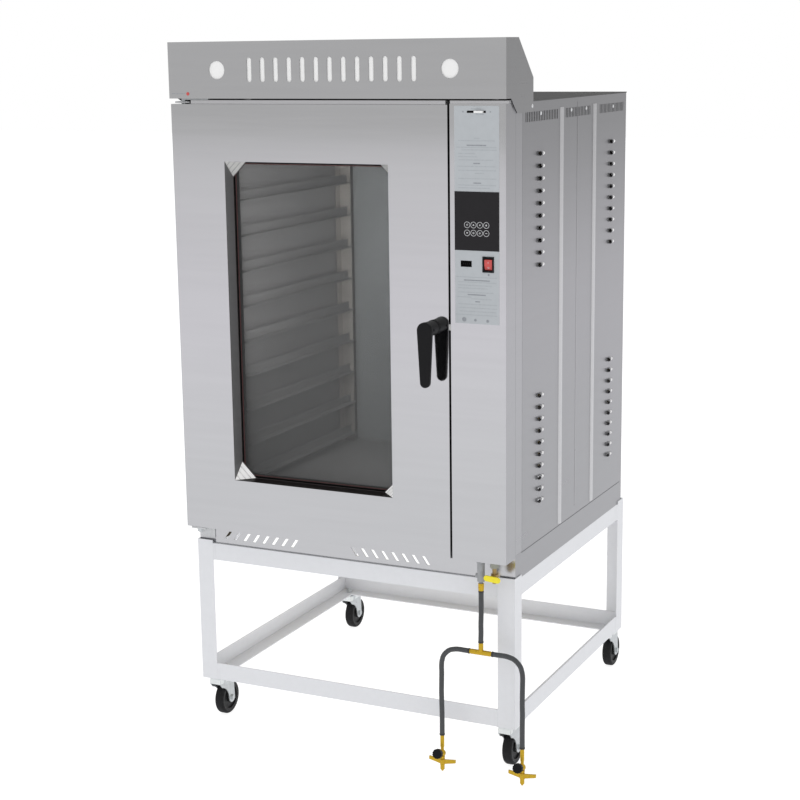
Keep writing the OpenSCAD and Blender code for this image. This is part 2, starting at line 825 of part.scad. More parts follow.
module fan_wheel() {
  fan_y = chamber_y1 - 5 - fan_depth;
  color("lightblue") seat() translate([chamber_mid_x, fan_y, chamber_mid_z]) rotate([-90, 0, 0]) {
    translate([0, 0, fan_depth - sheet]) cylinder(r = fan_r, h = sheet);
    difference() {
      cylinder(r = fan_r, h = sheet);
      translate([0, 0, -past]) cylinder(r = fan_r - 45, h = sheet + 2 * past);
    }
    for (k = [0:blade_count - 1]) rotate([0, 0, k * 360 / blade_count])
      translate([fan_r - 50, 0, 0]) rotate([0, 0, 25]) translate([0, -sheet / 2, 0])
        cube([44, sheet, fan_depth]);
    translate([0, 0, fan_depth - 24]) cylinder(r = shaft_r + 12, h = 24);
    translate([0, 0, fan_depth - 24]) cylinder(r = shaft_r, h = back_y + 55 - fan_y - fan_depth + 24);
  }
}

// Folded sheet of the canopy, drawn as [y, z]: lip, face, top, rear slope and foot
module canopy_fold() {
  y0 = canopy_y0;
  z0 = canopy_z0;
  z2 = canopy_z1 - canopy_slope_h;
  t = canopy_t;
  lip = 14;
  corner = t * tan((90 - atan(canopy_slope_h / canopy_slope_d)) / 2);
  polygon([[y0, z0], [y0, canopy_z1], [canopy_y1, canopy_z1], [canopy_y2, z2], [canopy_y2, panel_top],
    [canopy_y2 - t, panel_top], [canopy_y2 - t, z2 - corner / 2], [canopy_y1 - corner / 2, canopy_z1 - t],
    [y0 + t, canopy_z1 - t], [y0 + t, z0 + t], [y0 + lip, z0 + t], [y0 + lip, z0]]);
}

// End plate of the canopy; its nose points are given, since the left one lets the door's edge swing
module canopy_end(nose) {
  z2 = canopy_z1 - canopy_slope_h;
  low = panel_top - comb_drop;
  polygon(concat([[canopy_y0, canopy_z0], [canopy_y0, canopy_z1], [canopy_y1, canopy_z1], [canopy_y2, z2],
    [canopy_y2, low], [door_plane - 1, low]], nose));
}

module canopy() {
  t = canopy_t;
  mid_z = canopy_z0 + canopy_face / 2;
  swing_gap = 2;
  half = (canopy_slots - 1) / 2;
  color("silver") seat() difference() {
    union() {
      along_x(-t, body_w + 2 * t) canopy_fold();
      along_x(-t, t) canopy_end([[door_plane - 1, door_z1 + swing_gap], [door_plane - 32, canopy_z0]]);
      along_x(body_w, t) canopy_end([[door_plane - 32, canopy_z0]]);
    }
    for (k = [-half:half])
      translate([body_w / 2 + k * canopy_pitch, canopy_y0 - past, mid_z]) rotate([-90, 0, 0])
        linear_extrude(height = t + 2 * past) union() {
          square([canopy_slot_w, canopy_slot_h], center = true);
          for (s = [-1, 1]) translate([0, s * canopy_slot_h / 2]) circle(r = canopy_slot_w / 2, $fn = 24);
        }
    for (x = [canopy_hole_in, body_w - canopy_hole_in])
      bar_y([x, canopy_y0 - past, mid_z], canopy_hole_r, t + 2 * past);
  }
}

// Control column

module column_cuts(y0, y1, grow) {
  block([damper_x - grow, y0, damper_z - damper_h / 2 - grow],
    [damper_x + damper_slot + grow, y1, damper_z + damper_h / 2 + grow]);
  block([bezel_x - bezel_w / 2 + 2, y0, bezel_z - bezel_h / 2 + 2],
    [bezel_x + bezel_w / 2 - 2, y1, bezel_z + bezel_h / 2 - 2]);
  block([overlay_x0 + 16, y0, bezel_z - 8], [overlay_x0 + 46.5, y1, bezel_z + 8]);
}

module control_column() {
  color("silver") seat() difference() {
    block([column_x0, 0, column_z0], [body_w, door_plane, column_z1]);
    block([column_x0 + sheet, sheet, column_z0 + sheet],
      [body_w - sheet, door_plane + past, column_z1 - sheet]);
    column_cuts(-past, sheet + past, 0);
    for (x = [inlet_x, tap_x]) bar_z([x, inlet_y, column_z0 - past], 7 + near_gap, sheet + 2 * past);
  }
}

module control_overlay() {
  color("gainsboro") seat() difference() {
    block([overlay_x0, -overlay_t, overlay_z0], [overlay_x0 + overlay_w, 0, overlay_z1]);
    column_cuts(-past, past, 0.5);
  }
}

module key_panel() {
  color("black") seat() {
    block([overlay_x0, -overlay_t - keys_t, keys_z0], [overlay_x0 + overlay_w, -overlay_t, keys_z0 + keys_h]);
    for (i = [0:3], j = [0, 1])
      bar_y([overlay_x0 + 34.6 + i * 17.5, -overlay_t - keys_t - 0.4, keys_z0 + 44.6 + j * 20.4], key_r, 0.6);
  }
}

module control_board() {
  x0 = overlay_x0 + 8;
  z0 = keys_z0 + 4;
  w = overlay_w - 16;
  h = keys_h - 8;
  color("darkgreen") seat() {
    block([x0, 8, z0], [x0 + w, 9.6, z0 + h]);
    for (x = [x0 + 6, x0 + w - 6], z = [z0 + 6, z0 + h - 6]) bar_y([x, sheet, z], 3, 7);
    block([x0 + 14, 9, z0 + 20], [x0 + 52, 34, z0 + 62]);
  }
}

module switch_bezel() {
  w = bezel_w - 4 - 2 * near_gap;
  h = bezel_h - 4 - 2 * near_gap;
  color("black") seat() translate([bezel_x, 0, bezel_z]) difference() {
    union() {
      translate([-bezel_w / 2, -2.5, -bezel_h / 2]) cube([bezel_w, 2, bezel_h]);
      translate([-w / 2, -2.5, -h / 2]) cube([w, sleeve_d + 2.5, h]);
    }
    translate([-w / 2 + sleeve_wall, -2.5 - past, -h / 2 + sleeve_wall])
      cube([w - 2 * sleeve_wall, sleeve_d + past, h - 2 * sleeve_wall]);
    bar_x([-w / 2 - past, rocker_y, 0], 1.5 + run_fit, w + 2 * past);
  }
}

module power_rocker() {
  w = bezel_w - 4 - 2 * near_gap;
  h = rocker_h / 2;
  color("red") seat() translate([bezel_x, rocker_y, bezel_z]) rotate([rocker_tilt, 0, 0]) {
    along_x(-rocker_w / 2, rocker_w)
      polygon([[-8, 0], [-6, h], [-2, h], [5, 5], [5, -5], [-2, -h], [-6, -h]]);
    bar_x([-w / 2 + 0.4, 0, 0], 1.5, w - 0.8);
  }
}

module damper_slider() {
  color("whitesmoke") seat() {
    block([tab_x, -9, damper_z - damper_h / 2 + near_gap],
      [tab_x + damper_tab, sheet + 1, damper_z + damper_h / 2 - near_gap]);
    block([tab_x - 18, sheet + near_gap, damper_z - 8],
      [tab_x + damper_tab + 18, sheet + near_gap + 1.2, damper_z + 8]);
  }
}

// Hinges and latch

// A lower bracket on the front frame and an upper one on the strip under the canopy
module hinge_brackets() {
  z0 = door_z0 - collar_h;
  x1 = bracket_x0 + bracket_w;
  tab_t = 3;
  top_reach = 45;
  color("dimgray") seat() difference() {
    union() {
      block([bracket_x0, bracket_y0, z0 - plate_t], [x1, door_plane, z0]);
      block([bracket_x0, door_plane - tab_t, stand_top + 15], [x1, door_plane, z0]);
      block([bracket_x0, bracket_y0, panel_top], [x1, door_plane + top_reach, panel_top + top_plate_t]);
    }
    for (z = [z0 - plate_t - past, panel_top - past])
      bar_z([hinge_x, hinge_y, z], pin_r + 0.1, plate_t + 2 * past);
  }
}

module hinge_pins() {
  z0 = door_z0 - collar_h;
  under = 14;
  head_h = 4.5;
  color("silver") seat() {
    bar_z([hinge_x, hinge_y, z0 - plate_t - under], pin_r, plate_t + under + collar_h + boss_h);
    bar_z([hinge_x, hinge_y, z0], pin_collar_r, collar_h - near_gap);
    translate([hinge_x, hinge_y, z0 - plate_t - nut_r]) cylinder(r = nut_r, h = nut_r, $fn = 6);
    bar_z([hinge_x, hinge_y, door_z1 - boss_h], pin_r, panel_top - door_z1 + boss_h + top_plate_t);
    bar_z([hinge_x, hinge_y, door_z1 + near_gap], pin_collar_r, panel_top - door_z1 - near_gap);
    translate([hinge_x, hinge_y, panel_top + top_plate_t]) cylinder(r = 10, h = head_h, $fn = 6);
  }
}

// A block with a channel into which the latch tongue lifts
module latch_strike() {
  z0 = handle_z + tongue_high + 1.5;
  x0 = column_x0 - door_gap + 1.5;
  wall = 6;
  y1 = tongue_y + tongue_t;
  channel_h = 17;
  color("silver") seat() difference() {
    block([x0, tongue_y - wall, z0], [column_x0, y1 + wall, z0 + channel_h + 9]);
    block([x0 - past, tongue_y - near_gap, z0 - past],
      [column_x0 + past, y1 + near_gap, z0 + channel_h]);
  }
}

// Door

module door_shell() {
  color("lightgray") seat() difference() {
    union() {
      difference() {
        block([0, 0, door_z0], [door_w, door_d, door_z1]);
        block([sheet, sheet, door_z0 + sheet], [door_w - sheet, door_d + past, door_z1 - sheet]);
      }
      block([win_x - sheet, 0, win_z - sheet], [win_x + win_w + sheet, lip_y, win_z + win_h + sheet]);
      for (z = [door_z0, door_z1 - boss_h]) bar_z([hinge_x, hinge_y, z], boss_r, boss_h);
      bar_y([handle_x, 0, handle_z], 12, 16);
    }
    block([win_x, -past, win_z], [win_x + win_w, door_d, win_z + win_h]);
    bar_z([hinge_x, hinge_y, door_z0 - past], pin_r + run_fit, door_h + 2 * past);
    bar_y([handle_x, -past, handle_z], spindle_r + run_fit, 18);
    block([door_w - 3, tongue_y - 2, handle_z + tongue_slot[0]],
      [door_w + past, tongue_y + tongue_t + 2, handle_z + tongue_slot[1]]);
  }
}

module door_inner_panel() {
  color("gray") seat() difference() {
    union() {
      block([sheet, lip_y, door_z0 + sheet], [door_w - sheet, door_d, door_z1 - sheet]);
      block([pan_inset, lip_y, pan_z0], [pan_x1, pan_y, pan_z1]);
    }
    block([pan_inset + sheet, lip_y - past, pan_z0 + sheet], [pan_x1 - sheet, pan_y - sheet, pan_z1 - sheet]);
    block([win_x + inner_lap - 10, pan_y - 3, win_z + inner_lap - 10],
      [win_x + win_w - inner_lap + 10, pan_y + past, win_z + win_h - inner_lap + 10]);
  }
}

module door_glass_outer() {
  e = glass_edge;
  color("lightcyan", 0.4) seat()
    block([win_x - e, door_d, win_z - e], [win_x + win_w + e, door_d + glass_t, win_z + win_h + e]);
}

module door_glass_inner() {
  color("lightcyan", 0.4) seat() block([win_x, pan_y - sheet - glass_t, win_z],
    [win_x + win_w, pan_y - sheet, win_z + win_h]);
}

module glass_gasket() {
  e = glass_edge;
  o = e + 3;
  color("black") seat() union() {
    window_frame([win_x - o, lip_y, win_z - o], [win_x + win_w + o, door_d, win_z + win_h + o],
      [win_x + gasket_lip, win_z + gasket_lip], [win_x + win_w - gasket_lip, win_z + win_h - gasket_lip]);
    window_frame([win_x - o, lip_y, win_z - o], [win_x + win_w + o, door_d + glass_t, win_z + win_h + o],
      [win_x - e, win_z - e], [win_x + win_w + e, win_z + win_h + e]);
  }
}

// A corner clip: from the window's front corner to the glass, in the lower left corner
module corner_clip() {
  c = 0.2;
  l = clip_leg;
  y1 = lip_y - c;
  polyhedron(points = [[c, c, c], [c, y1, c], [l, y1, c], [c, y1, l]],
    faces = [[0, 2, 1], [0, 1, 3], [0, 3, 2], [1, 2, 3]]);
}

module glass_corner_clips() {
  color("whitesmoke") seat() translate([win_x + win_w / 2, 0, win_z + win_h / 2])
    for (sx = [0, 1], sz = [0, 1]) mirror([sx, 0, 0]) mirror([0, 0, sz])
      translate([-win_w / 2, 0, -win_h / 2]) corner_clip();
}

module door_seal() {
  x0 = chamber_x - 3;
  x1 = chamber_x1 + 3;
  z0 = chamber_z - 3;
  z1 = chamber_z1 + 3;
  color("firebrick") seat() window_frame([x0 - seal_w, pan_y, z0 - seal_w],
    [x1 + seal_w, door_plane - near_gap, z1 + seal_w], [x0, z0], [x1, z1]);
}

// Outline of the grip from its upper centre: two arcs joined by their tangents
module grip_outline() {
  a = asin((grip_top_r - grip_low_r) / grip_l);
  r1 = grip_top_r;
  r2 = grip_low_r;
  circle(r = r1);
  translate([0, -grip_l]) circle(r = r2);
  polygon([[r1 * cos(a), -r1 * sin(a)], [-r1 * cos(a), -r1 * sin(a)],
    [-r2 * cos(a), -grip_l - r2 * sin(a)], [r2 * cos(a), -grip_l - r2 * sin(a)]]);
}

module handle_lever() {
  arm_l = grip_reach - grip_t / 2;
  color("black") seat() difference() {
    union() {
      translate([handle_x, 0, handle_z]) along_y(-grip_reach + grip_t, grip_t) grip_outline();
      translate([handle_x, -near_gap, handle_z]) rotate([90, 0, 0])
        cylinder(r1 = arm_r, r2 = grip_top_r, h = arm_l);
      bar_y([handle_x, -9, handle_z], spindle_r, tongue_y + tongue_t + 13);
    }
    bar_x([handle_x, -grip_reach + grip_t + 3, handle_z], 2, grip_top_r + past);
  }
}

module latch_tongue() {
  color("silver") seat() difference() {
    union() {
      block([handle_x, tongue_y, handle_z - tongue_low],
        [handle_x + tongue_reach, tongue_y + tongue_t, handle_z + tongue_high]);
      bar_y([handle_x, tongue_y - 3, handle_z], 12, tongue_t + 6);
    }
    bar_y([handle_x, tongue_y - 4, handle_z], spindle_r + run_fit, tongue_t + 8);
  }
}

// Gas side

module gas_inlet() {
  z1 = column_z0;
  color("gray") seat() translate([inlet_x, inlet_y, 0]) {
    bar_z([0, 0, z1 - 3], 12, 3);
    bar_z([0, 0, inlet_low + 27], 10, z1 - 3 - inlet_low - 27);
    bar_z([0, 0, z1], 7, 18);
    bar_x([-14, 0, inlet_low + 41], 6.5, 14);
    bar_z([0, 0, inlet_low], 5, 27);
    for (k = [0:3]) translate([0, 0, inlet_low + 3 + k * 6]) cylinder(r1 = 5, r2 = 6.2, h = 4);
  }
}

module gas_tap() {
  color("goldenrod") seat() difference() {
    union() {
      translate([tap_x, inlet_y, column_z0 - 13]) cylinder(r = 12, h = 13, $fn = 6);
      bar_z([tap_x, inlet_y, tap_z - 16], 5.7, column_z0 - tap_z + 16);
      bar_z([tap_x, inlet_y, column_z0], 7, 18);
      bar_z([tap_x, inlet_y, tap_z - 10], 9.5, 20);
      bar_y([tap_x, -1, tap_z], 7, 12);
    }
    bar_y([tap_x, -2, tap_z], 3 + run_fit, 11);
  }
}

module tap_lever() {
  r = lever_w / 2;
  color("gold") seat() {
    translate([tap_x, 0, tap_z]) rotate([0, 5, 0]) along_y(-4, 5) union() {
      square([lever_l - lever_w, lever_w], center = true);
      for (s = [-1, 1]) translate([s * (lever_l / 2 - r), 0]) circle(r = r);
    }
    bar_y([tap_x, -5, tap_z], 6, 3.7);
    bar_y([tap_x, -5, tap_z], 3, 13);
  }
}

module gas_tee() {
  color("goldenrod") seat() {
    bar_x([tee_x - tee_half, 0, tee_z], 5, 2 * tee_half);
    bar_z([tee_x, 0, tee_z], 5, tee_top - tee_z);
    translate([tee_x, 0, tee_z]) sphere(r = 8.5);
    for (s = [-1, 1]) bar_x([tee_x + s * 20 - 4, 0, tee_z], 7, 8);
    bar_z([tee_x, 0, tee_z + 14], 7, 8);
  }
}

// A tube of sides flat faces swept along a route that keeps near the XZ plane
function unit(v) = v / norm(v);
function heading(path, i) = unit(path[min(i + 1, len(path) - 1)] - path[max(i - 1, 0)]);
function ring(path, i, r, sides) = let (t = heading(path, i), u = unit(cross(t, [0, 1, 0])), v = cross(t, u))
  [for (k = [0:sides - 1]) path[i] + r * cos(k * 360 / sides) * u + r * sin(k * 360 / sides) * v];
module tube(path, r, sides = 10) {
  n = len(path);
  points = [for (i = [0:n - 1], p = ring(path, i, r, sides)) p];
  walls = [for (i = [0:n - 2], k = [0:sides - 1]) let (a = i * sides + k, b = i * sides + (k + 1) % sides)
    each [[a, b, b + sides], [a, b + sides, a + sides]]];
  first = [for (k = [1:sides - 2]) [0, k + 1, k]];
  last = [for (k = [1:sides - 2]) [(n - 1) * sides, (n - 1) * sides + k, (n - 1) * sides + k + 1]];
  polyhedron(points = points, faces = concat(walls, first, last));
}

module hose(route) { translate([tee_x, 0, 0]) tube(route, hose_r); }

module hose_inlet() { color("dimgray") seat() hose(inlet_route); }

module hose_left() { color("dimgray") seat() hose(left_route); }

module hose_right() { color("dimgray") seat() hose(right_route); }

// A cylinder valve on the axis x: stem, body, knob boss, spigot for the wing nut and nose
module cylinder_valve(x) {
  color("goldenrod") seat() translate([x, valve_y, 0]) difference() {
    union() {
      bar_z([0, 0, 74], 5.5, hose_end - 74);
      bar_z([0, 0, 9], 4.5, 69);
      translate([0, 0, valve_z]) sphere(r = 9.5);
      bar_z([0, 0, 41], 7, 6);
      translate([0, 0, valve_z]) rotate([90 - knob_tilt, 0, 0]) cylinder(r = 6.5, h = knob_out - 8);
      bar_z([0, 0, 9], 6, 13);
      translate([0, 0, 4]) cylinder(r1 = 2.5, r2 = 4.5, h = 5);
    }
    translate([0, 0, valve_z]) rotate([90 - knob_tilt, 0, 0]) translate([0, 0, 6])
      cylinder(r = 3 + run_fit, h = knob_out);
  }
}

module valve_knob(x) {
  color("black") seat() translate([x, valve_y, valve_z]) rotate([90 - knob_tilt, 0, 0]) difference() {
    union() {
      translate([0, 0, 8]) cylinder(r = 3, h = knob_out - 4);
      translate([0, 0, knob_out - 8 + near_gap]) cylinder(r = knob_r, h = 12);
    }
    for (k = [0:11]) rotate([0, 0, k * 30]) translate([knob_r + 1, 0, knob_out - 9])
      cylinder(r = 2, h = 16, $fn = 24);
  }
}

module wing_nut(x) {
  z0 = 22 + near_gap;
  color("gold") seat() translate([x, valve_y, 0]) difference() {
    union() {
      bar_z([0, 0, z0], 7, 16);
      for (s = [0, 1]) mirror([s, 0, 0])
        translate([0, 2.5, 0]) rotate([90, 0, 0]) linear_extrude(height = 5)
          polygon([[0, z0 + 1], [wing_l, 32], [wing_l, 41], [0, z0 + 14]]);
    }
    bar_z([0, 0, z0 - past], 4.5 + run_fit, 20);
  }
}

stand_legs();
stand_top_rails();
stand_low_rails();
caster_stems();
caster_fork(0);  // caster_fork_front_left
caster_fork(1);  // caster_fork_front_right
caster_fork(2);  // caster_fork_rear_left
caster_fork(3);  // caster_fork_rear_right
caster_wheel(0);  // caster_wheel_front_left
caster_wheel(1);  // caster_wheel_front_right
caster_wheel(2);  // caster_wheel_rear_left
caster_wheel(3);  // caster_wheel_rear_right
base_skirt();
side_panel_left();
side_panel_right();
back_panel();
top_cover();
front_frame();
chamber_liner();
insulation();
fan_baffle();
tray_rack_left();
tray_rack_right();
gas_burners();
fan_motor();
fan_wheel();
control_column();
control_overlay();
key_panel();
control_board();
switch_bezel();
power_rocker();
damper_slider();
canopy();
hinge_brackets();
hinge_pins();
latch_strike();
door_shell();
door_inner_panel();
door_glass_outer();
door_glass_inner();
glass_gasket();
glass_corner_clips();
door_seal();
handle_lever();
latch_tongue();
gas_inlet();
gas_tap();
tap_lever();
gas_tee();
hose_inlet();
hose_left();
hose_right();
cylinder_valve(valve_x_left);  // cylinder_valve_left
cylinder_valve(valve_x_right);  // cylinder_valve_right
valve_knob(valve_x_left);  // valve_knob_left
valve_knob(valve_x_right);  // valve_knob_right
wing_nut(valve_x_left);  // wing_nut_left
wing_nut(valve_x_right);  // wing_nut_right
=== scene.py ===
"""Looks of a ten-tray gas convection oven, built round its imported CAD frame.

Points are written in millimetres from the body's left side, the front plane of the door and the floor,
and at() turns them into the frame's metres. Every piece is modelled in place and rides on a CAD body.
"""

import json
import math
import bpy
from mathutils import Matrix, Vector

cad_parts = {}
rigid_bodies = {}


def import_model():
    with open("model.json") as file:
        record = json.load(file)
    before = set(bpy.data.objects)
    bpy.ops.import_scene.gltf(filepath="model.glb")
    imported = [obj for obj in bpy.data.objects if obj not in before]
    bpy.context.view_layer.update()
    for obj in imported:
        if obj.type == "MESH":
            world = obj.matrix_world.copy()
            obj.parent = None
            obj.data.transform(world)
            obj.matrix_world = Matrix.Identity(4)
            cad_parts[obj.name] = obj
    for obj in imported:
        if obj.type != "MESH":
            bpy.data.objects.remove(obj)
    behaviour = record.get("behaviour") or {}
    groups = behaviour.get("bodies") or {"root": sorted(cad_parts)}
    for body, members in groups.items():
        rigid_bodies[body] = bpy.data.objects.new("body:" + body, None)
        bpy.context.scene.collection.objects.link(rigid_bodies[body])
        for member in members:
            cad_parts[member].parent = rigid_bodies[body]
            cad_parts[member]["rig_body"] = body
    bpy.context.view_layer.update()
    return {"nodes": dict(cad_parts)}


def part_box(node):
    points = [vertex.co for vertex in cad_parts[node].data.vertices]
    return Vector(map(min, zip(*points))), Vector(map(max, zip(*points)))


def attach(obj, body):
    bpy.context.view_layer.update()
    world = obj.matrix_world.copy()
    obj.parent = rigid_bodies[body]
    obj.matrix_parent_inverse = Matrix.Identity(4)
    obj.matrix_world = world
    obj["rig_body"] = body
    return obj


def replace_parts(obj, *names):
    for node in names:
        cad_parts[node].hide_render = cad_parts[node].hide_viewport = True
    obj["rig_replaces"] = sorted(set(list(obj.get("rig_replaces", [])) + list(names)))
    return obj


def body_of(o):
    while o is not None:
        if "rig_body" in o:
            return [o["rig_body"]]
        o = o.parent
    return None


bl_info = {
    "name": "Gas convection oven",
    "version": (1, 0, 0),
    "blender": (4, 5, 0),
    "location": "View3D > Sidebar > Oven",
    "description": "Builds the finishes and small parts of a gas convection oven on a wheeled stand",
    "category": "Object",
}

import bmesh
import bpy
from bpy.props import FloatProperty, FloatVectorProperty, IntProperty, PointerProperty
from mathutils import Matrix, Vector

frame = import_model()
NODES = frame["nodes"]
MM = 0.001
LEFT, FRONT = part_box("door_shell")[0].x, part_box("door_shell")[0].y
CORNERS = ("front_left", "front_right", "rear_left", "rear_right")


# Sizes and colours that a user would change


def length_mm(name, description, default):
    return FloatProperty(name=name, description=description + ", in millimetres", default=default, min=0.01,
                         max=500.0)


def shade(name, description, default):
    return FloatVectorProperty(name=name, description=description, default=default, size=3, min=0.0, max=1.0,
                               subtype="COLOR")


class OvenSizes(bpy.types.PropertyGroup):
    edge: FloatProperty(name="Edge rounding", description="Factor on the rounding of all edges", default=1.0,
                        min=0.1, max=2.0)
    grip_edge: length_mm("Grip edge", "Rounding of the handle's grip", 4.0)
    grip_low_radius: length_mm("Grip end", "Radius of the grip's lower end", 13.5)
    ring_width: length_mm("Ring width", "Width of the printed ring round a key", 1.1)
    print_height: length_mm("Line height", "Height of a printed line of the overlay", 2.2)
    ridge_pitch: length_mm("Ridge pitch", "Distance between a corner clip's ridges", 11.0)
    screw_radius: length_mm("Screw radius", "Radius of a casing screw's head", 5.0)
    hose_radius: length_mm("Hose radius", "Radius of the gas hoses", 6.8)
    hose_steps: IntProperty(name="Hose steps", description="Curve steps between two points of a hose",
                            default=4, min=1, max=12)


class OvenColours(bpy.types.PropertyGroup):
    casing: shade("Casing", "Brushed steel of the door, column and canopy", (0.595, 0.595, 0.605))
    side: shade("Side panels", "Brushed steel of the side and back panels", (0.355, 0.355, 0.368))
    stand: shade("Stand", "White powder coat of the stand", (0.735, 0.745, 0.775))
    zinc: shade("Zinc", "Zinc plate of the casters and pins", (0.59, 0.615, 0.625))
    inside: shade("Chamber", "Dull steel of the chamber", (0.36, 0.355, 0.355))
    brass: shade("Brass", "Gas fittings", (0.62, 0.40, 0.03))
    lever: shade("Tap lever", "Coating of the tap lever", (0.86, 0.74, 0.02))
    hose: shade("Hose", "Rubber of the gas hoses", (0.058, 0.061, 0.065))
    black: shade("Black plastic", "Handle, knobs and switch bezel", (0.006, 0.006, 0.007))
    red: shade("Rocker", "Power rocker", (0.55, 0.075, 0.07))
    film: shade("Overlay", "Film of the printed overlay", (0.445, 0.47, 0.495))


def sizes():
    return bpy.context.scene.oven_sizes


def colours():
    return bpy.context.scene.oven_colours


# Modelling helpers


def at(x, y, z):
    """A point in metres from millimetres off the body's left side, the door's front plane and the floor."""
    return Vector((LEFT + x * MM, FRONT + y * MM, z * MM))


def deselect():
    if bpy.context.object and bpy.context.object.mode != "OBJECT":
        bpy.ops.object.mode_set(mode="OBJECT")
    bpy.ops.object.select_all(action="DESELECT")


def only(obj):
    deselect()
    obj.select_set(True)
    bpy.context.view_layer.objects.active = obj
    return obj


def active(name):
    """The object that the last operator made, with its name."""
    obj = bpy.context.object
    obj.name = name
    return obj


def face_outward():
    """Turns all faces outward and leaves edit mode."""
    bpy.ops.mesh.select_all(action="SELECT")
    bpy.ops.mesh.normals_make_consistent(inside=False)
    bpy.ops.object.mode_set(mode="OBJECT")


def settle(obj):
    """Moves the object's place, turn and scale into its mesh."""
    only(obj)
    bpy.ops.object.transform_apply(location=True, rotation=True, scale=True)
    return obj


def slab(name, low, high):
    """A block between two opposite corners."""
    deselect()
    a, b = at(*low), at(*high)
    bpy.ops.mesh.primitive_cube_add(size=1, location=(a + b) / 2, scale=b - a)
    obj = active(name)
    return settle(obj)


def turned(name, start, axis, profile, sides=32):
    """A turned piece: profile lists (distance, radius) in millimetres, along the axis from start."""
    deselect()
    first = profile[0]
    bpy.ops.mesh.primitive_circle_add(vertices=sides, radius=first[1] * MM, fill_type="NGON")
    obj = active(name)
    bpy.ops.object.mode_set(mode="EDIT")
    bpy.ops.mesh.select_all(action="SELECT")
    here = first
    for step in profile[1:]:
        bpy.ops.mesh.extrude_region_move(TRANSFORM_OT_translate={"value": (0, 0, (step[0] - here[0]) * MM)})
        factor = step[1] / here[1]
        bpy.ops.transform.resize(value=(factor, factor, 1), center_override=(0, 0, (step[0] - first[0]) * MM))
        here = step
    face_outward()
    direction = Vector(axis).normalized()
    turn = Vector((0, 0, 1)).rotation_difference(direction).to_matrix().to_4x4()
    obj.matrix_world = Matrix.Translation(at(*start) + direction * first[0] * MM) @ turn
    return settle(obj)


def hoop(name, middle, axis, radius, width, height):
    """A flat round ring round an axis, in millimetres."""
    deselect()
    bpy.ops.mesh.primitive_torus_add(major_segments=40, minor_segments=8, major_radius=radius * MM,
                                     minor_radius=width / 2 * MM)
    obj = active(name)
    turn = Vector((0, 0, 1)).rotation_difference(Vector(axis).normalized()).to_matrix().to_4x4()
    obj.matrix_world = Matrix.Translation(at(*middle)) @ turn @ Matrix.Diagonal((1, 1, height / width, 1))
    return settle(obj)


def strip(name, start, end, outward, width, height):
    """A bar with a rectangular section from start to end, its height along outward, in millimetres."""
    a, b = at(*start), at(*end)
    along = (b - a).normalized()
    up = Vector(outward)
    up = (up - up.project(along)).normalized()
    side = up.cross(along)
    deselect()
    bpy.ops.mesh.primitive_cube_add(size=1)
    obj = active(name)
    turn = Matrix((along, side, up)).transposed().to_4x4()
    scale = Matrix.Diagonal(((b - a).length, width * MM, height * MM, 1))
    obj.matrix_world = Matrix.Translation((a + b) / 2) @ turn @ scale
    return settle(obj)


def border(low, high, y0, y1, width):
    """The four bars of a frame between two corners given as (x, z), from y0 to y1."""
    (x0, z0), (x1, z1) = low, high
    spans = [(x0, z0, x0 + width, z1), (x1 - width, z0, x1, z1),
             (x0, z0, x1, z0 + width), (x0, z1 - width, x1, z1)]
    return [slab("bar", (a, y0, b), (c, y1, d)) for a, b, c, d in spans]


def plate(name, outline, y, depth):
    """A flat piece with an outline in the XZ plane, given as (x, z) points, from y towards the back."""
    deselect()
    bpy.ops.mesh.primitive_plane_add(size=1)
    obj = active(name)
    bpy.ops.object.mode_set(mode="EDIT")
    shape = bmesh.from_edit_mesh(obj.data)
    bmesh.ops.delete(shape, geom=shape.verts[:], context="VERTS")
    shape.faces.new([shape.verts.new(at(x, y, z)) for x, z in outline])
    bmesh.update_edit_mesh(obj.data)
    bpy.ops.mesh.select_all(action="SELECT")
    bpy.ops.mesh.extrude_region_move(TRANSFORM_OT_translate={"value": (0, depth * MM, 0)})
    face_outward()
    return obj


def arc(middle, radius, first, last, steps):
    """Points of an arc in the XZ plane, its angles in degrees."""
    turns = [math.radians(first + (last - first) * i / steps) for i in range(steps + 1)]
    return [(middle[0] + radius * math.cos(t), middle[1] + radius * math.sin(t)) for t in turns]


def bevel(obj, width, segments=2, angle=35):
    only(obj)
    cut = obj.modifiers.new("Edges", "BEVEL")
    cut.width = width * MM
    cut.segments = segments
    cut.limit_method = "ANGLE"
    cut.angle_limit = math.radians(angle)
    cut.use_clamp_overlap = True
    bpy.ops.object.modifier_apply(modifier=cut.name)
    return obj


def smooth(obj, angle=35):
    """Smooth curves and rounded edges, with flat faces that stay flat."""
    only(obj)
    bpy.ops.object.shade_smooth_by_angle(angle=math.radians(angle))
    even = obj.modifiers.new("Even", "WEIGHTED_NORMAL")
    even.keep_sharp = True
    even.weight = 100
    bpy.ops.object.modifier_apply(modifier=even.name)
    return obj


def merged(name, parts):
    """Several objects as one piece."""
    only(parts[0])
    for part in parts[1:]:
        part.select_set(True)
    if len(parts) > 1:
        bpy.ops.object.join()
    obj = bpy.context.object
    obj.name = obj.data.name = name
    return obj


def copies(obj, shifts):
    """Copies of a piece, each with its own mesh, moved by millimetres."""
    made = []
    for shift in shifts:
        twin = obj.copy()
        twin.data = obj.data.copy()
        bpy.context.collection.objects.link(twin)
        twin.data.transform(Matrix.Translation(Vector(shift) * MM))
        made.append(twin)
    return made


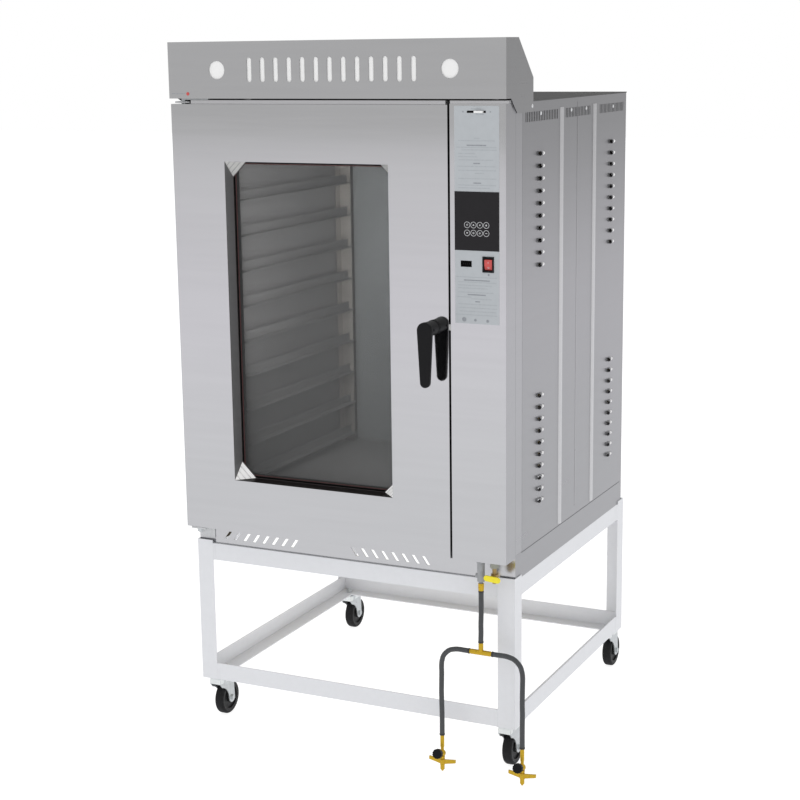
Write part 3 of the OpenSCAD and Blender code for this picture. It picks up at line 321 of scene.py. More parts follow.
def mirrored(obj, x=None, z=None):
    """A mirrored copy of a piece about a plane at x or z, or about both."""
    twin = copies(obj, [(0, 0, 0)])[0]
    middle = at(x if x is not None else 0, 0, z if z is not None else 0)
    flip = Matrix.Diagonal((-1 if x is not None else 1, 1, -1 if z is not None else 1, 1))
    twin.data.transform(Matrix.Translation(middle) @ flip @ Matrix.Translation(-middle))
    if (x is None) != (z is None):
        only(twin)
        bpy.ops.object.mode_set(mode="EDIT")
        face_outward()
    return twin


def finish(obj, body, material):
    """Gives a piece its material and the body that it rides on."""
    obj.data.materials.clear()
    obj.data.materials.append(MATERIALS[material])
    obj.data.name = obj.name
    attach(obj, body)
    return obj


# Materials


def feed(tree, node, inputs):
    """Sets a node's inputs, given by name or number, to values or to the sockets that feed them."""
    for key, value in inputs.items():
        if isinstance(value, bpy.types.NodeSocket):
            tree.links.new(value, node.inputs[key])
        else:
            node.inputs[key].default_value = value
    return node


def add_node(tree, kind, inputs, **settings):
    """A new shader node with its settings and inputs."""
    node = tree.nodes.new("ShaderNode" + kind)
    for key, value in settings.items():
        setattr(node, key, value)
    return feed(tree, node, inputs)


def finished_material(name, colour, metallic, roughness, spread, grain, rough_spread=0.06, bump=0.0,
                      detail=3.0, coat=0.0, alpha=1.0, fade=None, ior=1.45, glow=0.0):
    """A Principled material whose colour, roughness and bump follow a stretched noise in object space.

    fade scales the colour upward, as painted shade: from height, to height (both in metres), factor at the
    upper one.
    glow lets the colour shine by itself at that strength, as painted light.
    """
    material = bpy.data.materials.new(name)
    material.use_nodes = True
    tree = material.node_tree
    scale = (grain,) * 3 if isinstance(grain, int) else grain
    place = add_node(tree, "TexCoord", {})
    stretch = add_node(tree, "Mapping", {"Vector": place.outputs["Object"], "Scale": scale})
    noise = add_node(tree, "TexNoise", {"Vector": stretch.outputs["Vector"], "Scale": 1.0, "Detail": detail})
    level = noise.outputs["Fac"]
    ramp = add_node(tree, "ValToRGB", {"Fac": level})
    for stop, position, factor in zip(ramp.color_ramp.elements, (0.3, 0.7), (1 - spread, 1 + spread)):
        stop.position = position
        stop.color = [min(1, c * factor) for c in colour] + [1]
    tint = ramp.outputs["Color"]
    # Painted shade: the colour is scaled with height in object space, darker towards the top in every row
    # that uses it
    if fade:
        low, high, factor = fade
        split = add_node(tree, "SeparateXYZ", {0: place.outputs["Object"]})
        rise = add_node(tree, "MapRange", {"Value": split.outputs["Z"], "From Min": low, "From Max": high,
                                           "To Min": 1.0, "To Max": factor}, interpolation_type="SMOOTHSTEP")
        scaled = add_node(tree, "VectorMath", {0: tint, "Scale": rise.outputs["Result"]}, operation="SCALE")
        tint = scaled.outputs["Vector"]
    rough = add_node(tree, "MapRange", {"Value": level, "To Min": max(0.02, roughness - rough_spread),
                                        "To Max": roughness + rough_spread})
    # Emission at strength glow is painted light; only one row sets it
    shader = feed(tree, tree.nodes["Principled BSDF"], {
        "Base Color": tint, "Metallic": metallic, "Roughness": rough.outputs["Result"], "IOR": ior,
        "Alpha": alpha, "Coat Weight": coat, "Coat Roughness": 0.1, "Emission Strength": glow,
        "Emission Color": list(colour) + [1],
    })
    if bump:
        height = add_node(tree, "Bump", {"Height": level, "Strength": bump, "Distance": 0.0004})
        feed(tree, shader, {"Normal": height.outputs["Normal"]})
    return material


MATERIALS = {}


def make_materials():
    """Each row: colour, metallic, roughness, spread of the colour, grain of the noise, what else differs."""
    c = colours()
    table = {
        "casing": (c.casing, 1.0, 0.07, 0.012, (3, 3, 60), dict(rough_spread=0.015, bump=0.003, detail=1.0)),
        "skirt": ([v * 1.01 for v in c.casing], 1.0, 0.2, 0.012, (3, 3, 60), dict(rough_spread=0.02)),
        # Painted shade: the side steel is scaled darker towards the top
        "side": (c.side, 0.7, 0.28, 0.012, (3, 3, 40),
                 dict(rough_spread=0.01, bump=0.002, detail=1.0, fade=(1.25, 1.78, 0.72))),
        # Sideways faces of the column and front frame: the side tone a little lighter, with painted shade
        # darker towards the top
        "side_edge": ([v * 1.16 for v in c.side], 0.7, 0.28, 0.012, (3, 3, 40),
                      dict(rough_spread=0.01, detail=1.0, fade=(1.25, 1.78, 0.78))),
        # Painted reflection: the steel top cover is dark grey for the dark surroundings that it mirrors at a
        # grazing view
        "cover": ((0.12,) * 3, 0, 0.85, 0.05, 8, dict(ior=1.12)),
        "frame": ((0.16, 0.165, 0.17), 0.6, 0.4, 0.08, (20, 20, 60)),
        "chamber": (c.inside, 0.2, 0.42, 0.06, 6),
        "rack": ((0.28, 0.28, 0.278), 0.15, 0.55, 0.05, (20, 4, 40)),
        "baffle": ((0.52, 0.555, 0.565), 0.2, 0.5, 0.05, 6),
        "stand": (c.stand, 0, 0.42, 0.012, 60, dict(bump=0.05, detail=6)),
        "zinc": (c.zinc, 0.75, 0.3, 0.08, 90),
        "tyre": ((0.010, 0.010, 0.011), 0, 0.6, 0.3, 120, dict(bump=0.15, ior=1.3)),
        "rim": ((0.02, 0.02, 0.021), 0, 0.5, 0.15, 90, dict(ior=1.35)),
        "brass": (c.brass, 0.72, 0.28, 0.04, 140, dict(rough_spread=0.02)),
        "lever": (c.lever, 0, 0.35, 0.04, 90, dict(coat=0.2)),
        "tap": ((0.36, 0.25, 0.10), 0.6, 0.35, 0.12, 140),
        "tap_dull": ((0.30, 0.305, 0.26), 0.4, 0.5, 0.1, 90),
        "sleeve": ((0.03, 0.03, 0.032), 0, 0.4, 0.2, 200),
        "screw": ((0.72, 0.73, 0.74), 0.6, 0.3, 0.06, 200),
        # Painted shade: darker towards the top, like the side panels
        "seam": ((0.44, 0.44, 0.45), 0.7, 0.3, 0.02, (3, 3, 200), dict(fade=(1.25, 1.78, 0.64))),
        "clip_edge": ((0.36, 0.36, 0.37), 0.2, 0.4, 0.06, 200),
        # Painted shade: a darker tone for the canopy's sideways faces
        "canopy_end": ((0.27, 0.27, 0.275), 0.7, 0.3, 0.02, (3, 3, 200)),
        # Painted highlight: a lighter copy of the side tone for the raised ribs on the side panels and for
        # the door and column top trims, with painted shade darker towards the top
        "rib": ((0.62, 0.62, 0.63), 0.6, 0.35, 0.02, (3, 3, 200), dict(fade=(1.3, 1.78, 0.8))),
        "post": ((0.62, 0.585, 0.54), 0.1, 0.5, 0.06, 20),
        "dark_steel": ((0.03, 0.03, 0.032), 0.3, 0.5, 0.1, 90),
        # Painted highlight: near-white domes that stand for the glint of light on the louvres' ends
        "dimple": ((0.9,) * 3, 0.1, 0.3, 0.02, 90),
        # Painted shade: dark tones for the window reveal's side faces and, darker still, its bottom face,
        # instead of the door's steel
        "reveal": ((0.17, 0.17, 0.173), 0, 0.5, 0.04, (20, 20, 60)),
        "sill": ((0.018, 0.015, 0.015), 0, 0.5, 0.1, (20, 20, 60), dict(ior=1.25)),
        "hood": ((0.78, 0.81, 0.81), 0.2, 0.35, 0.03, 60),
        "bead": ((0.10, 0.035, 0.035), 0, 0.45, 0.15, 120),
        "hose": (c.hose, 0, 0.5, 0.12, (220, 220, 60), dict(bump=0.1)),
        "grey": ((0.33, 0.34, 0.35), 0.3, 0.42, 0.08, 90),
        "black": (c.black, 0, 0.4, 0.15, 260, dict(bump=0.05, ior=1.26)),
        "gap": ((0.004,) * 3, 0, 0.8, 0.2, 90, dict(ior=1.1)),
        "film": (c.film, 0, 0.5, 0.02, 60),
        "print": ((0.39, 0.415, 0.44), 0, 0.5, 0.1, 400),
        "dark_print": ((0.27, 0.285, 0.31), 0, 0.5, 0.15, 400),
        "pale_print": ((0.56, 0.565, 0.58), 0, 0.45, 0.04, 400),
        "keys": ((0.014, 0.013, 0.015), 0, 0.45, 0.06, 90, dict(ior=1.3)),
        "board": ((0.02, 0.1, 0.035), 0, 0.4, 0.2, 300),
        "red": (c.red, 0, 0.3, 0.1, 120),
        # Painted light: a lit copy of the clip tone for the lower clips, whose faces turn up, with a faint
        # glow
        "clip_low": ((0.95, 0.945, 0.94), 0, 0.35, 0.02, 60, dict(glow=0.25)),
        "clip": ((0.66, 0.66, 0.65), 0.1, 0.35, 0.02, 60),
        "gasket": ((0.075, 0.064, 0.064), 0, 0.45, 0.2, 120),
        "seal": ((0.16, 0.035, 0.035), 0, 0.45, 0.12, 120),
        "wool": ((0.46, 0.36, 0.16), 0, 0.9, 0.2, 60, dict(bump=0.4)),
        "iron": ((0.08, 0.075, 0.07), 0.3, 0.6, 0.2, 60),
        "motor": ((0.06, 0.085, 0.12), 0, 0.4, 0.08, 60, dict(bump=0.1)),
        "fan": ((0.5, 0.51, 0.52), 0.8, 0.35, 0.08, 40),
        "hinge": ((0.60, 0.61, 0.62), 0.4, 0.4, 0.08, 90),
        "lamp_plate": ((0.86,) * 3, 0, 0.5, 0.01, 20),
        "glass_outer": ((0.105,) * 3, 0, 0.06, 0.03, 4, dict(rough_spread=0.01, alpha=0.30)),
        "glass_inner": ((0.08, 0.085, 0.085), 0, 0.06, 0.03, 4, dict(rough_spread=0.01, alpha=0.16)),
    }
    for name, row in table.items():
        colour, *values = row[:5]
        extras = row[5] if len(row) > 5 else {}
        MATERIALS[name] = finished_material("oven_" + name, list(colour), *values, **extras)


# The camera, the floor and the light


class OVEN_OT_stage(bpy.types.Operator):
    """Adds the camera, the floor, the lamps and the world"""

    bl_idname = "oven.stage"
    bl_label = "Stage"

    def execute(self, context):
        yaw, pitch, roll = math.radians(25.74), math.radians(11.73), math.radians(-0.751)
        ahead = Vector((-math.sin(yaw) * math.cos(pitch), math.cos(yaw) * math.cos(pitch), -math.sin(pitch)))
        right = Vector((math.cos(yaw), math.sin(yaw), 0))
        up = right.cross(ahead)
        across = math.cos(roll) * right + math.sin(roll) * up
        upward = -math.sin(roll) * right + math.cos(roll) * up
        turn = Matrix((across, upward, -ahead)).transposed()
        deselect()
        bpy.ops.object.camera_add(location=at(2587.4, -3958.6, 1938.9), rotation=turn.to_euler())
        camera = active("oven_camera")
        camera.data.lens = 76.58
        camera.data.sensor_width = 36
        camera.data.dof.use_dof = False
        context.scene.camera = camera

        deselect()
        bpy.ops.mesh.primitive_plane_add(size=60, location=(0, 0, 0))
        floor = active("studio_floor")
        floor.data.materials.append(self.floor_material())

        self.world()
        middle = Vector((0, 0, 0.9))
        lamps = [
            ("key_lamp", (-2.6, -5.2, 4.4), 4.0, 24),
            ("front_lamp", (1.6, -6.0, 2.6), 4.5, 12),
            ("side_lamp", (5.0, 0.6, 3.2), 3.5, 22),
            ("rear_lamp", (-2.0, 5.5, 3.6), 4.0, 40),
        ]
        for name, place, size, power in lamps:
            aim = (middle - Vector(place)).to_track_quat("-Z", "Y").to_euler()
            self.lamp(name, "AREA", place, aim, power).size = size
        inner = self.lamp("chamber_lamp", "AREA", at(410, 130, 1400), (math.pi / 2, 0, 0), 4.2)
        inner.shape = "RECTANGLE"
        inner.size, inner.size_y = 0.5, 0.7
        self.lamp("stand_lamp", "POINT", at(490, 420, 330), (0, 0, 0), 2.2).shadow_soft_size = 0.2
        context.scene.view_settings.view_transform = "Standard"
        return {"FINISHED"}

    def lamp(self, name, kind, place, turn, power):
        """A lamp that lights the scene and isn't seen itself."""
        deselect()
        bpy.ops.object.light_add(type=kind, location=place, rotation=turn)
        lamp = active(name)
        lamp.data.energy = power
        lamp.visible_glossy = lamp.visible_camera = False
        return lamp.data

    def floor_material(self):
        """White once it is lit, darker in the shadow, and with tones of its own where metal mirrors it."""
        material = bpy.data.materials.new("oven_floor")
        material.use_nodes = True
        tree = material.node_tree
        tree.nodes.clear()
        lit, far_off = (0.85, 0.85, 0.85), 30
        place = add_node(tree, "TexCoord", {})
        far = add_node(tree, "VectorMath", {0: place.outputs["Object"]}, operation="LENGTH")
        reach = add_node(tree, "Math", {0: far.outputs["Value"], 1: far_off}, operation="DIVIDE")
        fade = add_node(tree, "ValToRGB", {"Fac": reach.outputs[0]})
        # Tones that metal mirrors, by the distance from the oven as a part of far_off
        near, *between, last = [
            (0.03, (0.577, 0.582, 0.60, 1)), (0.12, (0.587, 0.592, 0.612, 1)),
            (0.27, (0.655, 0.642, 0.683, 1)), (0.45, (0.60, 0.59, 0.62, 1)),
            (0.75, (0.565, 0.56, 0.58, 1)), (1.0, (0.485, 0.48, 0.495, 1)),
        ]
        stops = fade.color_ramp.elements
        for stop, (position, tone) in zip(stops, (near, last)):
            stop.position, stop.color = position, tone
        for position, tone in between:
            stops.new(position).color = tone
        extra = add_node(tree, "VectorMath", {0: fade.outputs["Color"], 1: lit}, operation="SUBTRACT")
        mask = add_node(tree, "LightPath", {}).outputs["Is Glossy Ray"]
        glint = add_node(tree, "VectorMath", {0: extra.outputs["Vector"], "Scale": mask}, operation="SCALE")
        tone = add_node(tree, "VectorMath", {0: glint.outputs["Vector"], 1: lit}, operation="ADD")
        glow = add_node(tree, "Emission", {"Color": tone.outputs["Vector"]})
        matte = add_node(tree, "BsdfDiffuse", {"Color": (0.4, 0.4, 0.4, 1)})
        both = add_node(tree, "AddShader", {0: matte.outputs[0], 1: glow.outputs[0]})
        add_node(tree, "OutputMaterial", {"Surface": both.outputs[0]})
        return material

    def world(self):
        """A plain white room for the camera and glass, and a softer one for metal and for light."""
        world = bpy.data.worlds.new("oven_studio")
        bpy.context.scene.world = world
        world.use_nodes = True
        tree = world.node_tree
        tree.nodes.clear()
        path = add_node(tree, "LightPath", {}).outputs
        seen = {0: path["Is Camera Ray"], 1: path["Is Transmission Ray"]}
        direct = add_node(tree, "Math", seen, operation="MAXIMUM").outputs[0]
        place = add_node(tree, "TexCoord", {})
        split = add_node(tree, "SeparateXYZ", {0: place.outputs["Generated"]})
        rise = add_node(tree, "MapRange", {"Value": split.outputs["Z"], "From Max": 0.7, "To Min": 0.63,
                                           "To Max": 0.80})
        strengths = {"lit": 0.71, "metal": rise.outputs["Result"], "plain": 1.0}
        back = {name: add_node(tree, "Background", {"Color": (1, 1, 1, 1), "Strength": strength}).outputs[0]
                for name, strength in strengths.items()}
        soft = add_node(tree, "MixShader", {"Fac": path["Is Glossy Ray"], 1: back["lit"], 2: back["metal"]})
        whole = add_node(tree, "MixShader", {"Fac": direct, 1: soft.outputs[0], 2: back["plain"]})
        add_node(tree, "OutputWorld", {"Surface": whole.outputs[0]})


# The routes of the three gas hoses, each shown from its exit to its far end

HOSES = {
    "hose_inlet": [(904.5, 11, 526), (904.5, 11, 508), (905, 10, 485), (906, 7, 460), (907, 3, 435),
                   (908, 1, 410), (908, 0, 398), (908, 0, 386)],
    "hose_left": [(876, 0, 358), (860, 0, 358), (841, 0, 358), (829, 0, 356), (817, 0, 352), (807, 0, 344),
                  (799, 0, 334), (795, 0, 322), (793, 0, 310), (793, 0, 285), (793, -1, 260), (793, -2, 230),
                  (794, -3, 200), (795, -4, 170), (795, -4, 140), (795, -4, 122), (795, -4, 108)],
    "hose_right": [(940, 0, 358), (960, 0, 358), (979, 0, 358), (991, 0, 356), (1003, 0, 352), (1013, 0, 344),
                   (1021, 0, 334), (1025, 0, 322), (1027, 0, 310), (1027, 0, 285), (1027, -1, 260),
                   (1027, -2, 230), (1028, -3, 200), (1028, -4, 170), (1028, -4, 140), (1028, -4, 122),
                   (1028, -4, 108)],
}


class OVEN_OT_hoses(bpy.types.Operator):
    """Draws the three gas hoses as smooth curves on the routes of their solids"""

    bl_idname = "oven.hoses"
    bl_label = "Gas hoses"

    def execute(self, context):
        for node, route in HOSES.items():
            points = [at(*p) for p in route]
            deselect()
            bpy.ops.curve.primitive_bezier_curve_add()
            obj = active(node + "_rubber")
            obj.location = (0, 0, 0)
            curve = obj.data
            curve.dimensions = "3D"
            curve.resolution_u = sizes().hose_steps
            curve.bevel_depth = sizes().hose_radius * MM
            curve.bevel_resolution = 6
            curve.use_fill_caps = True
            spline = curve.splines[0]
            spline.bezier_points.add(len(points) - len(spline.bezier_points))
            for knot, p in zip(spline.bezier_points, points):
                knot.co = p
                knot.handle_left_type = knot.handle_right_type = "AUTO"
            length = sum((b - a).length for a, b in zip(points, points[1:]))
            finish(obj, "root", "hose")
            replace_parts(obj, node)
            side = node.split("_")[1]
            carried = [f"cylinder_valve_{side}", f"valve_knob_{side}", f"wing_nut_{side}"]
            ends = [self.tee()] if side == "inlet" else [dressed(n) for n in carried]
            pieces = ends + self.fittings(side, route)
            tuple(points[0])
        return {"FINISHED"}

    def tee(self):
        """The plain brass tee between the three hoses."""
        low, high = node_mm("gas_tee")
        middle = (low[0] + high[0]) / 2
        foot, head = 358, high[2]
        span = high[0] - low[0]
        bar = [(0, 5.6), (0.8, 6.2), (3, 6.2), (4, 7.0), (span - 4, 7.0), (span - 3, 6.2), (span - 0.8, 6.2),
               (span, 5.6)]
        stem = [(0, 6.6), (head - foot - 4, 6.6), (head - foot, 5.8)]
        across = turned("tee_bar", (low[0], 0, foot), (1, 0, 0), bar, 36)
        up = turned("tee_stem", (middle, 0, foot), (0, 0, 1), stem, 36)
        obj = smooth(merged("tee_fitting", [across, up]), 25)
        finish(obj, "root", "brass")
        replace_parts(obj, "gas_tee")
        return obj

    def fittings(self, side, route):
        """The crimped rings at a hose's two ends, and the brass nipple under the inlet."""
        ring = [(-0.5, 7.0), (0, 7.5), (3.5, 7.5), (4.5, 7.0)]
        made = []
        for k, (end, toward) in enumerate(((0, 1), (-1, -2))):
            axis = at(*route[toward]) - at(*route[end])
            piece = smooth(turned(f"hose_ring_{side}_{k + 1}", route[end], axis, ring, 28), 25)
            made.append(finish(piece, "root", "sleeve"))
        if side == "inlet":
            x, y, z = route[0]
            nipple = [(0, 7.2), (5, 7.6), (6, 7.9), (18, 7.9), (20, 7.4)]
            piece = smooth(turned("inlet_nipple", (x, y, z + 1), (0, 0, 1), nipple, 32), 25)
            finish(piece, "root", "brass")
        return made


# The CAD nodes: each one's material, and the rounding of its edges in millimetres. Those with None are
# shown as they are, or a piece of their own stands for them.

FINISHES = {
    "stand_legs": ("stand", 0.8), "stand_top_rails": ("stand", 0.8), "stand_low_rails": ("stand", 0.8),
    "caster_stems": ("zinc", 0.4), "base_skirt": ("skirt", 0.5), "side_panel_left": ("side", 0),
    "side_panel_right": ("side", 0), "back_panel": ("side", 0.5), "top_cover": ("cover", 0.6),
    "fan_baffle": ("baffle", 0), "tray_rack_left": ("rack", 0.4), "tray_rack_right": ("rack", 0.4),
    "gas_burners": ("iron", 0.8), "fan_motor": ("motor", 0.8), "fan_wheel": ("fan", 0.4),
    "control_column": ("casing", 0.8), "switch_bezel": ("black", 0.7), "power_rocker": ("red", 0.9),
    "canopy": ("casing", 0.8), "hinge_brackets": ("hinge", 0.6), "hinge_pins": ("zinc", 0.4),
    "latch_strike": ("dark_steel", 0.5), "door_shell": ("casing", 0.8), "door_inner_panel": ("frame", 0.8),
    "glass_gasket": ("gasket", 1.0), "glass_corner_clips": ("clip", 0.6), "door_seal": ("seal", 2.5),
    "latch_tongue": ("clip", 0.6), "gas_inlet": ("grey", 0.6), "gas_tap": ("tap", 0.5),
    "tap_lever": ("lever", 1.2), "gas_tee": ("brass", 0.6), "cylinder_valve_left": ("brass", 0.5),
    "cylinder_valve_right": ("brass", 0.5), "valve_knob_left": ("black", 1.2),
    "valve_knob_right": ("black", 1.2), "wing_nut_left": ("brass", 1.0), "wing_nut_right": ("brass", 1.0),
    "damper_slider": ("gap", 0.4), "control_board": ("board", 0.3), "front_frame": ("frame", 0.5),
    "chamber_liner": ("chamber", None), "insulation": ("wool", None), "control_overlay": ("film", None),
    "key_panel": ("keys", None), "door_glass_outer": ("glass_outer", None),
    "door_glass_inner": ("glass_inner", None), "handle_lever": ("black", None),
}
for corner in CORNERS:
    FINISHES["caster_fork_" + corner] = ("zinc", 0.6)
    FINISHES["caster_wheel_" + corner] = ("tyre", 0)


# Faces that get a second material. The numbers are millimetres off the same corner as at().

PANEL_OUT = 490
RIBS, RIB_REACH = (397, 663), 16
WINDOW_X, WINDOW_Z = (150, 670), (745, 1655)
TAP_HEAD, REAR_POST, DOOR_MIDDLE = 588, 765, 1200


def sideways(face):
    return abs(face.normal.x) > 0.9


# Faces of the side panels' raised ribs, which get the painted highlight
def at_rib(face):
    y = (face.center.y - FRONT) / MM
    out = abs(face.center.x) / MM - PANEL_OUT
    return out > 0.3 and min(abs(y - rib) for rib in RIBS) < RIB_REACH


def in_window(face):
    x, z = (face.center.x - LEFT) / MM, face.center.z / MM
    return WINDOW_X[0] < x < WINDOW_X[1] and WINDOW_Z[0] < z < WINDOW_Z[1]


PAINTED = {
    # Painted shade: the sideways faces of the column, front frame, skirt and canopy take the side panels'
    # tones instead of their fronts', for the way light falls on the oven's sides
    "control_column": [("side_edge", sideways)],
    "front_frame": [("side_edge", sideways)],
    "base_skirt": [("side", sideways)],
    "canopy": [("canopy_end", sideways)],
    # Painted highlight: the ribs of the side panels take a lighter tone than the panel
    "side_panel_left": [("rib", at_rib)],
    "side_panel_right": [("rib", at_rib)],
    "gas_tap": [("tap_dull", lambda face: face.center.z > TAP_HEAD * MM)],
    "tray_rack_left": [("post", lambda face: face.center.y > FRONT + REAR_POST * MM)],
    "tray_rack_right": [("post", lambda face: face.center.y > FRONT + REAR_POST * MM)],
    # Painted light: the lower corner clips get the lit, glowing copy of the clip tone
    "glass_corner_clips": [("clip_low", lambda face: face.center.z < DOOR_MIDDLE * MM)],
    # Painted shade in the window's recess: its side faces and its bottom face get dark tones
    "door_shell": [
        ("reveal", lambda face: sideways(face) and in_window(face)),
        ("sill", lambda face: face.normal.z > 0.9 and in_window(face)),
    ],
}


def paint(obj, material, test):
    """Gives the faces that pass the test a second material."""
    obj.data.materials.append(MATERIALS[material])
    for face in obj.data.polygons:
        if test(face):
            face.material_index = len(obj.data.materials) - 1


def dressed(node):
    """A copy of a CAD node with merged corners, rounded edges and smooth curves, which stands for it."""
    source = NODES[node]
    obj = copies(source, [(0, 0, 0)])[0]
    for key in list(obj.keys()):
        del obj[key]
    obj.parent = None
    obj.matrix_world = Matrix.Identity(4)
    obj.name = node + "_finish"
    only(obj)
    bpy.ops.object.mode_set(mode="EDIT")
    bpy.ops.mesh.select_all(action="SELECT")
    bpy.ops.mesh.remove_doubles(threshold=0.00001)
    bpy.ops.mesh.dissolve_limited(angle_limit=math.radians(1))
    bpy.ops.object.mode_set(mode="OBJECT")
    material, edge = FINISHES[node]
    if edge:
        bevel(obj, edge * sizes().edge)
    smooth(obj, 30)
    finish(obj, body_of(source)[0], material)
    for painted in PAINTED.get(node, []):
        paint(obj, *painted)
    if node.startswith("caster_wheel"):
        low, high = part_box(node)
        middle = (low + high) / 2
        rim = (high.z - low.z) / 2 - 8.5 * MM
        paint(obj, "rim", lambda f: math.hypot(f.center.y - middle.y, f.center.z - middle.z) < rim)
    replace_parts(obj, node)
    return obj


class OVEN_OT_finishes(bpy.types.Operator):
    """Gives every CAD node its finish, and the nodes that show rounded edges"""

    bl_idname = "oven.finishes"
    bl_label = "Finishes"

    def execute(self, context):
        done = {n for obj in bpy.data.objects for n in obj.get("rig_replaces", [])}
        for node, (material, edge) in FINISHES.items():
            mesh = NODES[node].data
            mesh.materials.clear()
            mesh.materials.append(MATERIALS[material])
            if edge is not None and node not in done:
                dressed(node)
        return {"FINISHED"}


def node_mm(node):
    """The lowest and highest corners of a node in millimetres, off the same corner as at()."""
    low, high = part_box(node)
    return [tuple(((p - Vector((LEFT, FRONT, 0))) / MM)) for p in (low, high)]


class OVEN_OT_handle(bpy.types.Operator):
    """Builds the moulded handle: a tapered grip on a round arm"""

    bl_idname = "oven.handle"
    bl_label = "Handle"

    def execute(self, context):
        low, high = node_mm("handle_lever")
        top_r = (high[0] - low[0]) / 2
        low_r = sizes().grip_low_radius
        x, z = (low[0] + high[0]) / 2, high[2] - top_r
        length = z - low[2] - low_r
        front, grip_t = low[1], 15
        lean = math.degrees(math.asin((top_r - low_r) / length))
        outline = arc((x, z), top_r, -lean, 180 + lean, 24)
        outline += arc((x, z - length), low_r, 180 + lean, 360 - lean, 18)
        grip = bevel(plate("grip", outline, front, grip_t), sizes().grip_edge, 4)
        arm_y = front + grip_t - 3
        reach = -arm_y - 0.4
        profile = [(0, top_r - 0.6), (4, top_r - 0.6), (8, top_r - 1.1), (reach - 5, 19), (reach - 4, 20.2),
                   (reach - 0.8, 20.2), (reach, 19.4)]
        arm = turned("arm", (x, arm_y, z), (0, 1, 0), profile, 64)
        handle = smooth(merged("latch_handle", [grip, arm]), 40)
        finish(handle, "handle", "black")
        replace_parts(handle, "handle_lever")
        screw = turned("handle_screw", (x + top_r - 2.4, arm_y + 7, z), (1, 0, 0),
                       [(0, 3.2), (1.5, 3.2), (2.0, 2.7), (2.01, 1.6), (1.2, 1.5)], 24)
        finish(smooth(screw, 30), "handle", "gap")
        return {"FINISHED"}


